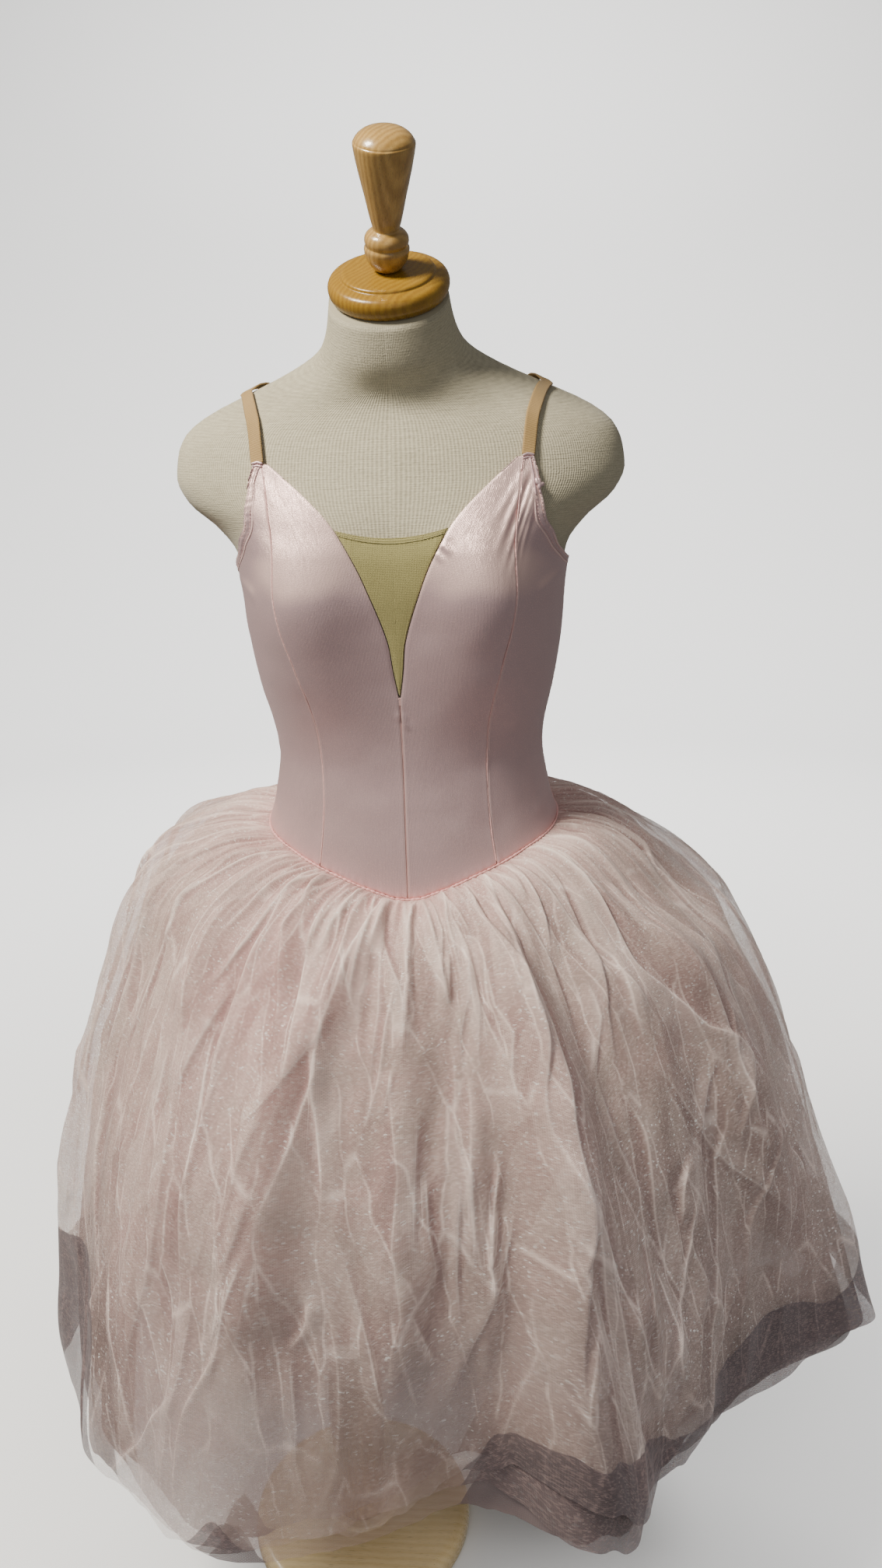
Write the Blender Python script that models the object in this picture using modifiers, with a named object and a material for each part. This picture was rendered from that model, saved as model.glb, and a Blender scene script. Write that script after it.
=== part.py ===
"""Romantic ballet tutu on a limbless dress form.

A camisole bodice of shiny stretch satin, with a bare-coloured net insert in its deep V and two
elastic straps, sewn to a gathered tulle skirt of four layers along a V-shaped dropped seam.
It is worn by a jersey-covered form on a turned wooden stand.

Metres, +Z up, front faces -Y. The origin is under the middle of the round base, on the floor.
Every cloth piece is a thin wall worked out from the form's own sections, moved outwards.
"""

import math

import bmesh
import bpy
import numpy as np

# ---------------------------------------------------------------- driving sizes, in metres
FORM_X, FORM_Y = 0.100, -0.015     # the torso's upright axis, seen from the pole's axis
FORM_BOTTOM = 0.600                # underside of the torso
FORM_COLUMNS = 44                  # points round each section of the torso
FORM_FOOT = (0.93, 0.90)           # how far its lower edge is drawn in, across and deep
FORM_FOOT_HEIGHT = 0.012           # of that rounded edge
FORM_EXTRA_ROWS = [1.030, 1.090, 1.140, 1.173, 1.196, 1.218]
SQUARENESS = 2.2                   # exponent of the torso's oval sections, 2 is an ellipse

SEAM_GAP = 0.0004                  # between neighbouring pieces of cloth
CLEARANCE = 0.0024                 # between the form and the cloth on it
SATIN = 0.0015                     # wall of the bodice
INSERT_NET = 0.0010                # wall of the V insert
TULLE = 0.0010                     # wall of one skirt layer
ELASTIC = 0.0012                   # wall of a strap
STRAP_WIDTH = 0.0105

V_BOTTOM = 1.064                   # where the V opening ends in the centre front seam
BODICE_TOP = 1.263                 # where the straps leave the front
INSERT_DIP = 0.007                 # how far the insert's top edge sags
INSERT_DIP_SPAN = (1.14, 0.069)    # height where the sag starts, and the span it grows over
INSERT_START = 0.004               # lower end of the insert above the V's corner
INSERT_GAP = 1.3                   # seam gaps between the insert and the bodice

BASE_RADIUS, BASE_HEIGHT = 0.130, 0.030
POLE_TOP, COLLAR_TOP = 0.407, 0.465
ROD_RADIUS = 0.014
CAP_TILT = math.radians(30)        # the neck block leans forward with the neck
CAP_CENTRE = (FORM_X + 0.0010, FORM_Y - 0.0320, 1.3936)
CAP_HEIGHT = 0.0217
FINIAL_LEAN = math.radians(4)      # the finial also leans a little to the wearer's left
REST_GAP = 0.0003                  # between hard pieces that rest on each other

# The torso's sections: height, half width, depth in front of and behind the axis, how far the
# section is moved back, and how much it leans (rise for each metre towards the back).
FORM_SECTIONS = [
    # height, half,   front,  back,   shift,  lean
    (0.600, 0.1500, 0.0860, 0.0940, 0.000, 0.00),
    (0.640, 0.1610, 0.0940, 0.1040, 0.000, 0.00),
    (0.720, 0.1680, 0.1010, 0.1120, 0.000, 0.00),
    (0.800, 0.1670, 0.1040, 0.1120, 0.000, 0.00),
    (0.860, 0.1570, 0.1010, 0.1030, 0.000, 0.00),
    (0.920, 0.1390, 0.0950, 0.0890, 0.000, 0.00),
    (0.960, 0.1275, 0.0900, 0.0800, 0.000, 0.00),
    (1.003, 0.1215, 0.0865, 0.0765, 0.000, 0.00),
    (1.060, 0.1290, 0.0890, 0.0830, 0.000, 0.00),
    (1.120, 0.1390, 0.0950, 0.0920, 0.000, 0.00),
    (1.160, 0.1445, 0.0980, 0.0970, 0.000, 0.00),
    (1.185, 0.1490, 0.0980, 0.0990, 0.000, 0.00),
    (1.207, 0.1650, 0.0950, 0.0990, 0.000, 0.00),
    (1.230, 0.1910, 0.0880, 0.0970, 0.000, 0.00),
    (1.250, 0.2000, 0.0800, 0.0940, 0.000, 0.00),
    (1.270, 0.1975, 0.0730, 0.0900, 0.000, 0.03),
    (1.288, 0.1890, 0.0660, 0.0850, 0.000, 0.08),
    (1.302, 0.1710, 0.0610, 0.0790, 0.000, 0.14),
    (1.316, 0.1400, 0.0560, 0.0730, -0.001, 0.20),
    (1.328, 0.1110, 0.0530, 0.0680, -0.004, 0.27),
    (1.339, 0.0880, 0.0510, 0.0620, -0.008, 0.35),
    (1.350, 0.0720, 0.0495, 0.0570, -0.013, 0.42),
    (1.361, 0.0630, 0.0485, 0.0530, -0.018, 0.48),
    (1.374, 0.0575, 0.0480, 0.0500, -0.023, 0.53),
    (1.389, 0.0535, 0.0475, 0.0480, -0.027, 0.56),
    (1.412, 0.0500, 0.0465, 0.0465, -0.032, 0.577),
]
BUST = {"apart": 0.088, "height": 1.158, "depth": 0.026, "wide": 0.052, "tall": 0.052}

# Seam lines of the bodice on one half of the front: height and distance from the centre.
PRINCESS_SEAM = [
    (0.906, 0.0800),
    (0.935, 0.0760),
    (0.972, 0.0730),
    (1.000, 0.0725),
    (1.030, 0.0725),
    (1.063, 0.0755),
    (1.101, 0.0835),
    (1.135, 0.0935),
    (1.162, 0.0990),
    (1.195, 0.1005),
    (1.222, 0.1040),
    (1.263, 0.1095),
]
NECKLINE = [
    (V_BOTTOM, 0.0004),
    (1.090, 0.0045),
    (1.111, 0.0070),
    (1.121, 0.0095),
    (1.160, 0.0235),
    (1.178, 0.0310),
    (1.202, 0.0440),
    (1.212, 0.0505),
    (1.263, 0.1040),
]
# Edges that go round the body: angle from the centre front in degrees, and height.
BASQUE_SEAM = [
    (0, 0.8785),
    (3, 0.8792),
    (7, 0.8830),
    (13, 0.8885),
    (22, 0.8970),
    (36, 0.9075),
    (50, 0.9165),
    (70, 0.9235),
    (90, 0.9290),
    (135, 0.9350),
    (180, 0.9370),
]
ARMHOLE = [
    (33.5, 1.2630),
    (36.5, 1.2380),
    (44.0, 1.2160),
    (54.0, 1.2020),
    (66.0, 1.1870),
    (78.0, 1.1770),
    (90.0, 1.1730),
]
BACK_TOP = [
    (90, 1.1730),
    (110, 1.1670),
    (135, 1.1500),
    (160, 1.1380),
    (180, 1.1350),
]
# Rows of the front panels, as a share of the way from the basque seam to the strap.
CENTRE_BOTTOM = BASQUE_SEAM[0][1]
CENTRE_CORNER = (V_BOTTOM - CENTRE_BOTTOM) / (BODICE_TOP - CENTRE_BOTTOM)
ARMPIT = 0.58
INSERT_TOP = 0.858                 # the row that the insert's top edge lies on
PANEL_ROWS = [
    0, 0.12, 0.24, 0.36, CENTRE_CORNER, ARMPIT, 0.66, 0.73, 0.80, INSERT_TOP, 0.90, 0.95, 1,
]

# A strap over the shoulder: angle on its section, and distance from the centre line. Then it runs
# down the back to the bodice's edge.
STRAP_ROUTE = [(32.5, 0.1090), (60, 0.1210), (90, 0.1310), (120, 0.1240), (147, 0.1080)]
STRAP_END = 0.0860                 # distance from the centre line at the back edge
STRAP_REST = 0.0030                # its square end stands this far above the sloping edge

# ---------------------------------------------------------------- the skirt
# Its profile, from the seam to the hem: share of the cloth's length, of the way out to the
# hem's radius, and of the drop.
SKIRT_PROFILE = [
    # length, out,   drop
    (0.00, 0.000, 0.000),
    (0.05, 0.110, 0.003),
    (0.14, 0.290, 0.045),
    (0.30, 0.530, 0.170),
    (0.52, 0.745, 0.400),
    (0.76, 0.895, 0.690),
    (1.00, 1.000, 1.000),
]
# The hem's big lobes: direction in degrees (0 front, 90 the wearer's left), the hem's radius,
# the radius that the skirt makes for higher up, and how far the hem dips there.
HEM_LOBES = [
    # direction, hem, body, dip
    (-180, 0.350, 0.355, 0.000),
    (-155, 0.375, 0.372, 0.006),
    (-130, 0.395, 0.395, 0.000),
    (-105, 0.403, 0.412, 0.008),
    (-84, 0.388, 0.410, 0.010),
    (-62, 0.388, 0.388, 0.012),
    (-52, 0.374, 0.374, 0.018),
    (-36, 0.364, 0.350, 0.028),
    (-20, 0.308, 0.320, 0.024),
    (-6, 0.275, 0.298, 0.022),
    (10, 0.255, 0.285, 0.006),
    (19, 0.265, 0.290, 0.004),
    (32, 0.330, 0.308, 0.012),
    (39, 0.330, 0.320, 0.045),
    (46, 0.320, 0.332, 0.016),
    (57, 0.325, 0.358, 0.014),
    (70, 0.352, 0.394, 0.014),
    (80, 0.410, 0.418, 0.004),
    (92, 0.490, 0.440, 0.026),
    (106, 0.470, 0.437, 0.016),
    (128, 0.425, 0.405, 0.000),
    (152, 0.372, 0.372, 0.008),
    (180, 0.350, 0.355, 0.000),
]
# The largest folds: direction at the seam, half way down and at the hem in degrees, half width
# in degrees, how far it stands out, and where it starts and ends as shares of the length.
BIG_FOLDS = [
    # seam, middle, hem, width, rise, start, end
    (-14, -26, -30, 5.0, 0.020, 0.05, 0.80),
    (26, 30, 26, 5.4, 0.022, 0.05, 1.10),
    (33, 34, 52, 5.2, 0.014, 0.25, 1.10),
    (55, 70, 80, 5.2, 0.016, 0.05, 0.85),
    (-5, 2, 2, 5.0, 0.009, 0.08, 0.45),
    (-2, -2, -5, 5.0, 0.010, 0.34, 0.95),
    (15, 14, 17, 5.0, 0.009, 0.34, 0.85),
    (-52, -43, -52, 5.2, 0.012, 0.10, 1.10),
    (-72, -74, -76, 5.2, 0.014, 0.10, 1.10),
    (-108, -110, -114, 5.4, 0.016, 0.05, 1.10),
    (-140, -143, -142, 5.2, 0.014, 0.08, 0.90),
    (-163, -166, -169, 5.2, 0.018, 0.05, 1.10),
    (172, 168, 165, 5.0, 0.012, 0.10, 0.95),
    (150, 148, 144, 5.4, 0.018, 0.05, 1.10),
    (128, 126, 124, 5.2, 0.016, 0.08, 1.10),
    (100, 104, 106, 5.4, 0.014, 0.05, 1.10),
    (-82, -82, -82, 34.0, 0.026, 0.00, 0.34),
    (72, 72, 72, 34.0, -0.020, 0.06, 0.34),
]
GATHERS = 32                       # small gathers round the seam
GATHER_RISE = 0.0028
# The four layers, outermost first: columns, whether the small gathers show in it, inset of the
# wall at full spacing, height of the hem, its unevenness, number and phase of its soft waves.
SKIRT_LAYERS = [
    # name, columns, gathers, inset, hem height, unevenness, waves, phase
    ("top", 128, 1, 0.000, 0.368, 0.012, 16, 0.0),
    ("second", 64, 1, 0.014, 0.345, 0.014, 14, 1.1),
    ("third", 48, 0, 0.028, 0.330, 0.012, 16, 2.3),
    ("under", 48, 0, 0.042, 0.352, 0.010, 14, 0.6),
]
LAYER_STEP = 0.0024                # spacing of the layers where they are stitched
LAYER_WAVE = 0.0028
INNER_FOLDS = 0.7                  # how far the inner layers follow the large folds

# ---------------------------------------------------------------- finishes
FINISHES = {
    # name: colour, roughness, metallic
    "jersey": ((0.78, 0.76, 0.70), 0.90, 0.0),
    "satin": ((0.86, 0.64, 0.66), 0.35, 0.0),
    "insert_net": ((0.55, 0.46, 0.25), 0.85, 0.0),
    "elastic": ((0.56, 0.40, 0.22), 0.80, 0.0),
    "tulle": ((0.84, 0.68, 0.69), 0.60, 0.0),
    "wood": ((0.58, 0.34, 0.12), 0.25, 0.0),
    "dark_wood": ((0.30, 0.13, 0.06), 0.30, 0.0),
    "steel": ((0.30, 0.30, 0.31), 0.40, 1.0),
}


# ---------------------------------------------------------------- shapes as functions
def smooth_column(at, table, column):
    """Value of one column of a table at the given places in its first column, as a monotone
    cubic: each slope is the harmonic mean of its two neighbours, or flat at a turn."""
    rows = np.array(table, float)
    xs, ys = rows[:, 0], rows[:, column]
    step = np.diff(xs)
    rise = np.diff(ys) / step
    slope = np.empty_like(ys)
    slope[0], slope[-1] = rise[0], rise[-1]
    same = rise[:-1] * rise[1:] > 0
    before = np.where(same, rise[:-1], 1.0)
    after = np.where(same, rise[1:], 1.0)
    one, two = 2 * step[1:] + step[:-1], step[1:] + 2 * step[:-1]
    slope[1:-1] = np.where(same, (one + two) / (one / before + two / after), 0.0)
    at = np.clip(at, xs[0], xs[-1])
    i = np.clip(np.searchsorted(xs, at) - 1, 0, len(xs) - 2)
    t = (at - xs[i]) / step[i]
    return (
        (2 * t**3 - 3 * t**2 + 1) * ys[i]
        + (t**3 - 2 * t**2 + t) * step[i] * slope[i]
        + (3 * t**2 - 2 * t**3) * ys[i + 1]
        + (t**3 - t**2) * step[i] * slope[i + 1]
    )


def ease(value):
    """0 below 0, 1 above 1, and a smooth rise between."""
    value = np.clip(value, 0.0, 1.0)
    return value * value * (3 - 2 * value)


def form_point(angle, height):
    """Point on the form. The angle is 0 at the centre front and grows towards +X."""
    angle, height = np.broadcast_arrays(np.asarray(angle, float), np.asarray(height, float))
    half, front, back, shift, lean = (
        smooth_column(height, FORM_SECTIONS, column) for column in range(1, 6)
    )
    sine, cosine = np.sin(angle), np.cos(angle)
    x = half * np.sign(sine) * np.abs(sine) ** (2 / SQUARENESS)
    depth = np.where(cosine > 0, front, back)
    y = -depth * np.sign(cosine) * np.abs(cosine) ** (2 / SQUARENESS)
    mound = np.exp(
        -(((np.abs(x) - BUST["apart"]) / BUST["wide"]) ** 2)
        - ((height - BUST["height"]) / BUST["tall"]) ** 2
    )
    y = y - BUST["depth"] * mound * np.sqrt(np.clip(cosine, 0, 1)) + shift
    return np.stack([FORM_X + x, FORM_Y + y, height + lean * y], -1)


def form_normal(angle, height):
    """Outward unit normal of the form, from two small steps on its surface."""
    small = 1e-3
    across = form_point(angle + small, height) - form_point(angle - small, height)
    along = form_point(angle, height + small) - form_point(angle, height - small)
    normal = np.cross(across, along)
    return normal / np.linalg.norm(normal, axis=-1, keepdims=True)


def on_form(angle, height, lift):
    """Point at a given distance outside the form."""
    return form_point(angle, height) + lift * form_normal(angle, height)


def angle_at(across, height):
    """Angle at which the front of a section is this far from the centre line."""
    share = np.clip(across / smooth_column(height, FORM_SECTIONS, 1), 0, 1)
    return np.arcsin(share ** (SQUARENESS / 2))


def basque_height(angle):
    """Height of the seam between bodice and skirt, the same on both sides."""
    degrees = np.abs(np.degrees(np.arctan2(np.sin(angle), np.cos(angle))))
    return smooth_column(degrees, BASQUE_SEAM, 1)


def skirt_radius(direction, length):
    """Radius that the profile runs out to. The hem's own lobes come in with the square of the
    length."""
    hem, body = (smooth_column(np.degrees(direction), HEM_LOBES, column) for column in (1, 2))
    return body + (hem - body) * length**2


def big_folds(direction, length):
    """Sum of the named folds: each is a soft ridge that wanders from its seam angle to its hem
    angle, and rises and dies away at its ends."""
    total = np.zeros(np.broadcast(direction, length).shape)
    degrees = np.degrees(direction)
    for seam, middle, hem, width, rise, start, end in BIG_FOLDS:
        centre = np.where(
            length < 0.5,
            seam + (middle - seam) * ease(2 * length),
            middle + (hem - middle) * ease(2 * length - 1),
        )
        aside = (degrees - centre + 180) % 360 - 180
        reach = ease((length - start) / 0.22) * ease((end - length) / 0.18)
        total += rise * reach * np.exp(-((aside / width) ** 2))
    return total


def skirt_point(angle, length, layer):
    """Point on the middle of a skirt layer's wall. It starts on the seam, at this angle of the
    form's section, and runs out and down along the profile; folds, gathers and waves move it
    along the profile's own normal, and so does the inset of an inner layer."""
    name, _, gathered, inset, hem_height, unevenness, waves, phase = layer
    order = [row[0] for row in SKIRT_LAYERS].index(name)
    start = on_form(angle, basque_height(angle) - order * LAYER_STEP, CLEARANCE)
    direction = np.arctan2(start[..., 0] - FORM_X, FORM_Y - start[..., 1])
    outward = np.stack([np.sin(direction), -np.cos(direction)], -1)
    seam_radius = np.hypot(start[..., 0] - FORM_X, start[..., 1] - FORM_Y)
    hem = (
        hem_height
        - smooth_column(np.degrees(direction), HEM_LOBES, 3)
        + unevenness * np.sin(3 * direction + 2 * phase)
        + 0.6 * unevenness * np.sin(7 * direction + phase)
    )
    reach = skirt_radius(direction, length) - seam_radius
    drop = start[..., 2] - hem
    step = 0.01
    low, high = np.clip(length - step, 0, 1), np.clip(length + step, 0, 1)
    run = reach * (smooth_column(high, SKIRT_PROFILE, 1) - smooth_column(low, SKIRT_PROFILE, 1))
    fall = drop * (smooth_column(high, SKIRT_PROFILE, 2) - smooth_column(low, SKIRT_PROFILE, 2))
    size = np.hypot(run, fall)
    normal_out, normal_up = fall / size, run / size

    from_seam = ease(length / 0.10)
    small = gathered * GATHER_RISE * from_seam * ease((0.55 - length) / 0.40)
    own = LAYER_WAVE * ease((length - 0.10) / 0.30) * np.cos(waves * angle + phase)
    fold_share = 1.0 if order == 0 else INNER_FOLDS
    folds = fold_share * big_folds(direction, length)
    move = folds + small * np.sin(GATHERS * angle) + own - inset * ease(length / 0.22)
    radius = seam_radius + reach * smooth_column(length, SKIRT_PROFILE, 1) + move * normal_out
    height = start[..., 2] - drop * smooth_column(length, SKIRT_PROFILE, 2) + move * normal_up
    return np.stack(
        [FORM_X + radius * outward[..., 0], FORM_Y + radius * outward[..., 1], height], -1
    )


# ---------------------------------------------------------------- making objects
def clear_scene():
    for thing in list(bpy.data.objects):
        bpy.data.objects.remove(thing, do_unlink=True)


def make_collection():
    collection = bpy.data.collections.new("ballet_tutu_on_dress_form")
    bpy.context.scene.collection.children.link(collection)
    return collection


def make_material(name):
    colour, roughness, metallic = FINISHES[name]
    material = bpy.data.materials.new(name)
    material.use_nodes = True
    shader = material.node_tree.nodes["Principled BSDF"]
    shader.inputs["Base Color"].default_value = (*colour, 1)
    shader.inputs["Roughness"].default_value = roughness
    shader.inputs["Metallic"].default_value = metallic
    return material


def add_object(name, mesh, finish):
    thing = bpy.data.objects.new(name, mesh)
    mesh.materials.append(make_material(finish))
    COLLECTION.objects.link(thing)
    return thing


def grid_mesh(name, points, ring=False):
    """Mesh through a grid of points, rows first. A ring also joins its last column to its
    first."""
    rows, columns = points.shape[:2]
    index = np.arange(rows * columns).reshape(rows, columns)
    after = np.roll(index, -1, axis=1)
    if not ring:
        index, after = index[:, :-1], after[:, :-1]
    faces = np.stack([index[:-1], after[:-1], after[1:], index[1:]], -1).reshape(-1, 4)
    mesh = bpy.data.meshes.new(name)
    mesh.from_pydata(points.reshape(-1, 3).tolist(), [], faces.tolist())
    return mesh


def cloth(name, points, thickness, finish, offset=1.0):
    """A cloth wall: an open grid, thickened away from the form, or both ways if offset is 0."""
    thing = add_object(name, grid_mesh(name, points), finish)
    wall = thing.modifiers.new("wall", "SOLIDIFY")
    wall.thickness = thickness
    wall.offset = offset
    wall.use_even_offset = True
    thing.data.shade_smooth()
    return thing


def turned(name, profile, finish, sides, place=(0, 0, 0), tilt=0.0, lean=0.0):
    """A turned solid from (radius, height) pairs, outer side from top to bottom, closed on the
    axis."""
    mesh = bpy.data.meshes.new(name)
    points = [(0, 0, profile[0][1])] + [(r, 0, z) for r, z in profile] + [(0, 0, profile[-1][1])]
    mesh.from_pydata(points, [(i, i + 1) for i in range(len(points) - 1)], [])
    thing = add_object(name, mesh, finish)
    screw = thing.modifiers.new("turn", "SCREW")
    screw.steps = screw.render_steps = sides
    screw.use_merge_vertices = True
    screw.merge_threshold = 0.0001
    thing.location = place
    thing.rotation_euler = (tilt, lean, 0)
    thing.data.shade_smooth()
    return thing


# ---------------------------------------------------------------- the dress form and its stand
def make_torso():
    """Sections of the form, with a flat neck and a rounded lower edge closed by a flat board."""
    angles = np.linspace(0, 2 * math.pi, FORM_COLUMNS, endpoint=False)
    heights = np.array(sorted([row[0] for row in FORM_SECTIONS] + FORM_EXTRA_ROWS))
    points = form_point(angles[None, :], heights[:, None])
    bottom = points[0].copy()
    bottom[:, 0] = FORM_X + (bottom[:, 0] - FORM_X) * FORM_FOOT[0]
    bottom[:, 1] = FORM_Y + (bottom[:, 1] - FORM_Y) * FORM_FOOT[1]
    bottom[:, 2] = FORM_BOTTOM
    points[0, :, 2] = FORM_BOTTOM + FORM_FOOT_HEIGHT
    points = np.concatenate([bottom[None], points])
    mesh = grid_mesh("torso", points, ring=True)
    shape = bmesh.new()
    shape.from_mesh(mesh)
    shape.verts.ensure_lookup_table()
    count = len(angles)
    shape.faces.new([shape.verts[i] for i in reversed(range(count))])
    shape.faces.new([shape.verts[len(shape.verts) - count + i] for i in range(count)])
    bmesh.ops.recalc_face_normals(shape, faces=shape.faces)
    shape.to_mesh(mesh)
    shape.free()
    torso = add_object("torso", mesh, "jersey")
    mesh.shade_smooth()
    return torso


def cap_place(rise):
    """Point on the neck block's own axis, this far above the neck."""
    return (
        CAP_CENTRE[0],
        CAP_CENTRE[1] - rise * math.sin(CAP_TILT),
        CAP_CENTRE[2] + rise * math.cos(CAP_TILT),
    )


def make_neck_block():
    profile = [
        (0.0370, CAP_HEIGHT),
        (0.0390, CAP_HEIGHT - 0.0010),
        (0.0395, CAP_HEIGHT - 0.0030),
        (0.0430, 0.0182),
        (0.0478, 0.0168),
        (0.0502, 0.0135),
        (0.0509, 0.0100),
        (0.0503, 0.0055),
        (0.0480, 0.0015),
        (0.0460, 0.0000),
    ]
    turned("neck_block", profile, "wood", 30, cap_place(REST_GAP * 2), CAP_TILT)


def make_finial():
    dome = [(0.0075, 0.1062), (0.0150, 0.1046), (0.0203, 0.1012), (0.0226, 0.0985)]
    grip = [
        (0.0240, 0.0966),
        (0.0243, 0.0940),
        (0.0229, 0.0852),
        (0.0200, 0.0712),
        (0.0165, 0.0567),
        (0.0135, 0.0420),
        (0.0106, 0.0312),
    ]
    ring = [(0.0150, 0.0292), (0.0176, 0.0262), (0.0183, 0.0225), (0.0174, 0.0194)]
    bowl = [(0.0186, 0.0168), (0.0184, 0.0135), (0.0170, 0.0080), (0.0142, 0.0035), (0.0112, 0.0)]
    raised = bowl[-1][0] * math.sin(FINIAL_LEAN)
    place = cap_place(CAP_HEIGHT + 3 * REST_GAP + raised)
    turned("finial", dome + grip + ring + bowl, "wood", 20, place, CAP_TILT, FINIAL_LEAN)


def make_stand():
    base = [
        (0.0400, BASE_HEIGHT + 0.004),
        (0.0430, BASE_HEIGHT),
        (BASE_RADIUS - 0.010, BASE_HEIGHT),
        (BASE_RADIUS - 0.003, BASE_HEIGHT - 0.003),
        (BASE_RADIUS, BASE_HEIGHT - 0.010),
        (BASE_RADIUS, 0.008),
        (BASE_RADIUS - 0.003, 0.002),
        (BASE_RADIUS - 0.008, 0.000),
    ]
    turned("base", base, "wood", 40)
    foot = BASE_HEIGHT + 0.004 + REST_GAP
    pole = [
        (0.0185, POLE_TOP),
        (0.0202, POLE_TOP - 0.006),
        (0.0212, 0.350),
        (0.0255, 0.280),
        (0.0310, 0.215),
        (0.0325, 0.175),
        (0.0312, 0.125),
        (0.0272, 0.085),
        (0.0265, 0.070),
        (0.0310, 0.060),
        (0.0325, 0.048),
        (0.0310, foot),
    ]
    turned("pole", pole, "wood", 20)
    low = POLE_TOP + REST_GAP
    collar = [
        (0.0210, COLLAR_TOP),
        (0.0255, COLLAR_TOP - 0.004),
        (0.0266, COLLAR_TOP - 0.014),
        (0.0248, COLLAR_TOP - 0.026),
        (0.0262, COLLAR_TOP - 0.040),
        (0.0250, low + 0.005),
        (0.0215, low),
    ]
    turned("pole_collar", collar, "dark_wood", 20)
    rod = [
        (ROD_RADIUS, FORM_BOTTOM - REST_GAP),
        (ROD_RADIUS, COLLAR_TOP + 0.012),
        (0.0180, COLLAR_TOP + 0.010),
        (0.0180, COLLAR_TOP + REST_GAP),
    ]
    turned("pole_rod", rod, "steel", 18)


# ---------------------------------------------------------------- the bodice
def blend_rows(inner, outer, columns):
    """Grid of (angle, height) between two edges given row by row."""
    share = np.linspace(0, 1, columns)[None, :, None]
    return inner[:, None, :] * (1 - share) + outer[:, None, :] * share


def sit_on_basque(grid, fade):
    """Moves the lower rows so that the bottom one lies on the basque seam, just above the
    skirt, and the correction fades out upwards."""
    wanted = basque_height(grid[0, :, 0]) + TULLE / 2 + SEAM_GAP
    grid[..., 1] += (1 - fade)[:, None] ** 2 * (wanted - grid[0, :, 1])[None, :]
    return grid


def trim(grid, left, right):
    """Moves the edge columns in by a share of the seam gap, so that neighbours stay apart."""
    radius = smooth_column(grid[..., 1], FORM_SECTIONS, 2)
    grid[:, 0, 0] += left * SEAM_GAP / radius[:, 0]
    grid[:, -1, 0] -= right * SEAM_GAP / radius[:, -1]
    return grid


def front_edges():
    """The three upright edges of the front on the +X half, row by row, as angle and height:
    centre front with neckline, princess seam, side seam with armhole."""
    rows = np.array(PANEL_ROWS)
    centre_height = CENTRE_BOTTOM + (BODICE_TOP - CENTRE_BOTTOM) * rows
    across = np.where(rows > CENTRE_CORNER + 1e-6, smooth_column(centre_height, NECKLINE, 1), 0)
    centre = np.stack([angle_at(across, centre_height), centre_height], -1)

    bottom = PRINCESS_SEAM[0][0]
    seam_height = bottom + (BODICE_TOP - bottom) * rows
    across = smooth_column(seam_height, PRINCESS_SEAM, 1)
    princess = np.stack([angle_at(across, seam_height), seam_height], -1)

    side_bottom, armpit = BASQUE_SEAM[8][1], ARMHOLE[-1][1]
    lower = rows <= ARMPIT + 1e-6
    side_height = side_bottom + (armpit - side_bottom) * rows / ARMPIT
    up = (rows - ARMPIT) / (1 - ARMPIT)
    hole_angle = 90 + (ARMHOLE[0][0] - 90) * np.sin(np.clip(up, 0, 1) * math.pi / 2)
    side = np.stack(
        [
            np.radians(np.where(lower, 90, hole_angle)),
            np.where(lower, side_height, smooth_column(hole_angle, ARMHOLE, 1)),
        ],
        -1,
    )
    return rows, centre, princess, side


def mirror(grid):
    """The same piece on the other half of the body, with its columns in reverse."""
    flipped = grid[:, ::-1].copy()
    flipped[..., 0] *= -1
    return flipped


def make_bodice():
    rows, centre, princess, side = front_edges()
    centre_panel = trim(sit_on_basque(blend_rows(centre, princess, 8), rows), 0.5, 0.5)
    side_panel = trim(sit_on_basque(blend_rows(princess, side, 9), rows), 0.5, 0.5)
    for half, place in (("left", 1), ("right", -1)):
        for name, grid in (("centre_front", centre_panel), ("side_front", side_panel)):
            shown = grid if place > 0 else mirror(grid)
            points = on_form(shown[..., 0], shown[..., 1], CLEARANCE)
            cloth(f"bodice_{name}_{half}", points, SATIN, "satin")

    lower = rows[rows <= ARMPIT + 1e-6] / ARMPIT
    angles = np.radians(np.linspace(90, 270, 25))
    folded = np.where(angles > math.pi, 2 * math.pi - angles, angles)
    bottom = basque_height(angles)
    top = smooth_column(np.degrees(folded), BACK_TOP, 1)
    heights = bottom[None, :] + (top - bottom)[None, :] * lower[:, None]
    grid = np.stack([np.broadcast_to(angles, heights.shape).copy(), heights], -1)
    grid = trim(sit_on_basque(grid, lower), 0.5, 0.5)
    cloth("bodice_back", on_form(grid[..., 0], grid[..., 1], CLEARANCE), SATIN, "satin")

    opening = (rows > CENTRE_CORNER - 1e-6) & (rows <= INSERT_TOP + 1e-6)
    height = centre[opening, 1].copy()
    height[0] += INSERT_START
    half = smooth_column(height, NECKLINE, 1) - SEAM_GAP * INSERT_GAP
    half[0] = SEAM_GAP
    share = np.linspace(-1, 1, 9)
    across = half[:, None] * share[None, :]
    low, span = INSERT_DIP_SPAN
    dip = INSERT_DIP * (1 - share**2)[None, :] * ease((height - low) / span)[:, None]
    tall = height[:, None] - dip
    angle = np.sign(across) * angle_at(np.abs(across), tall)
    cloth("v_insert", on_form(angle, tall, CLEARANCE), INSERT_NET, "insert_net")


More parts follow.
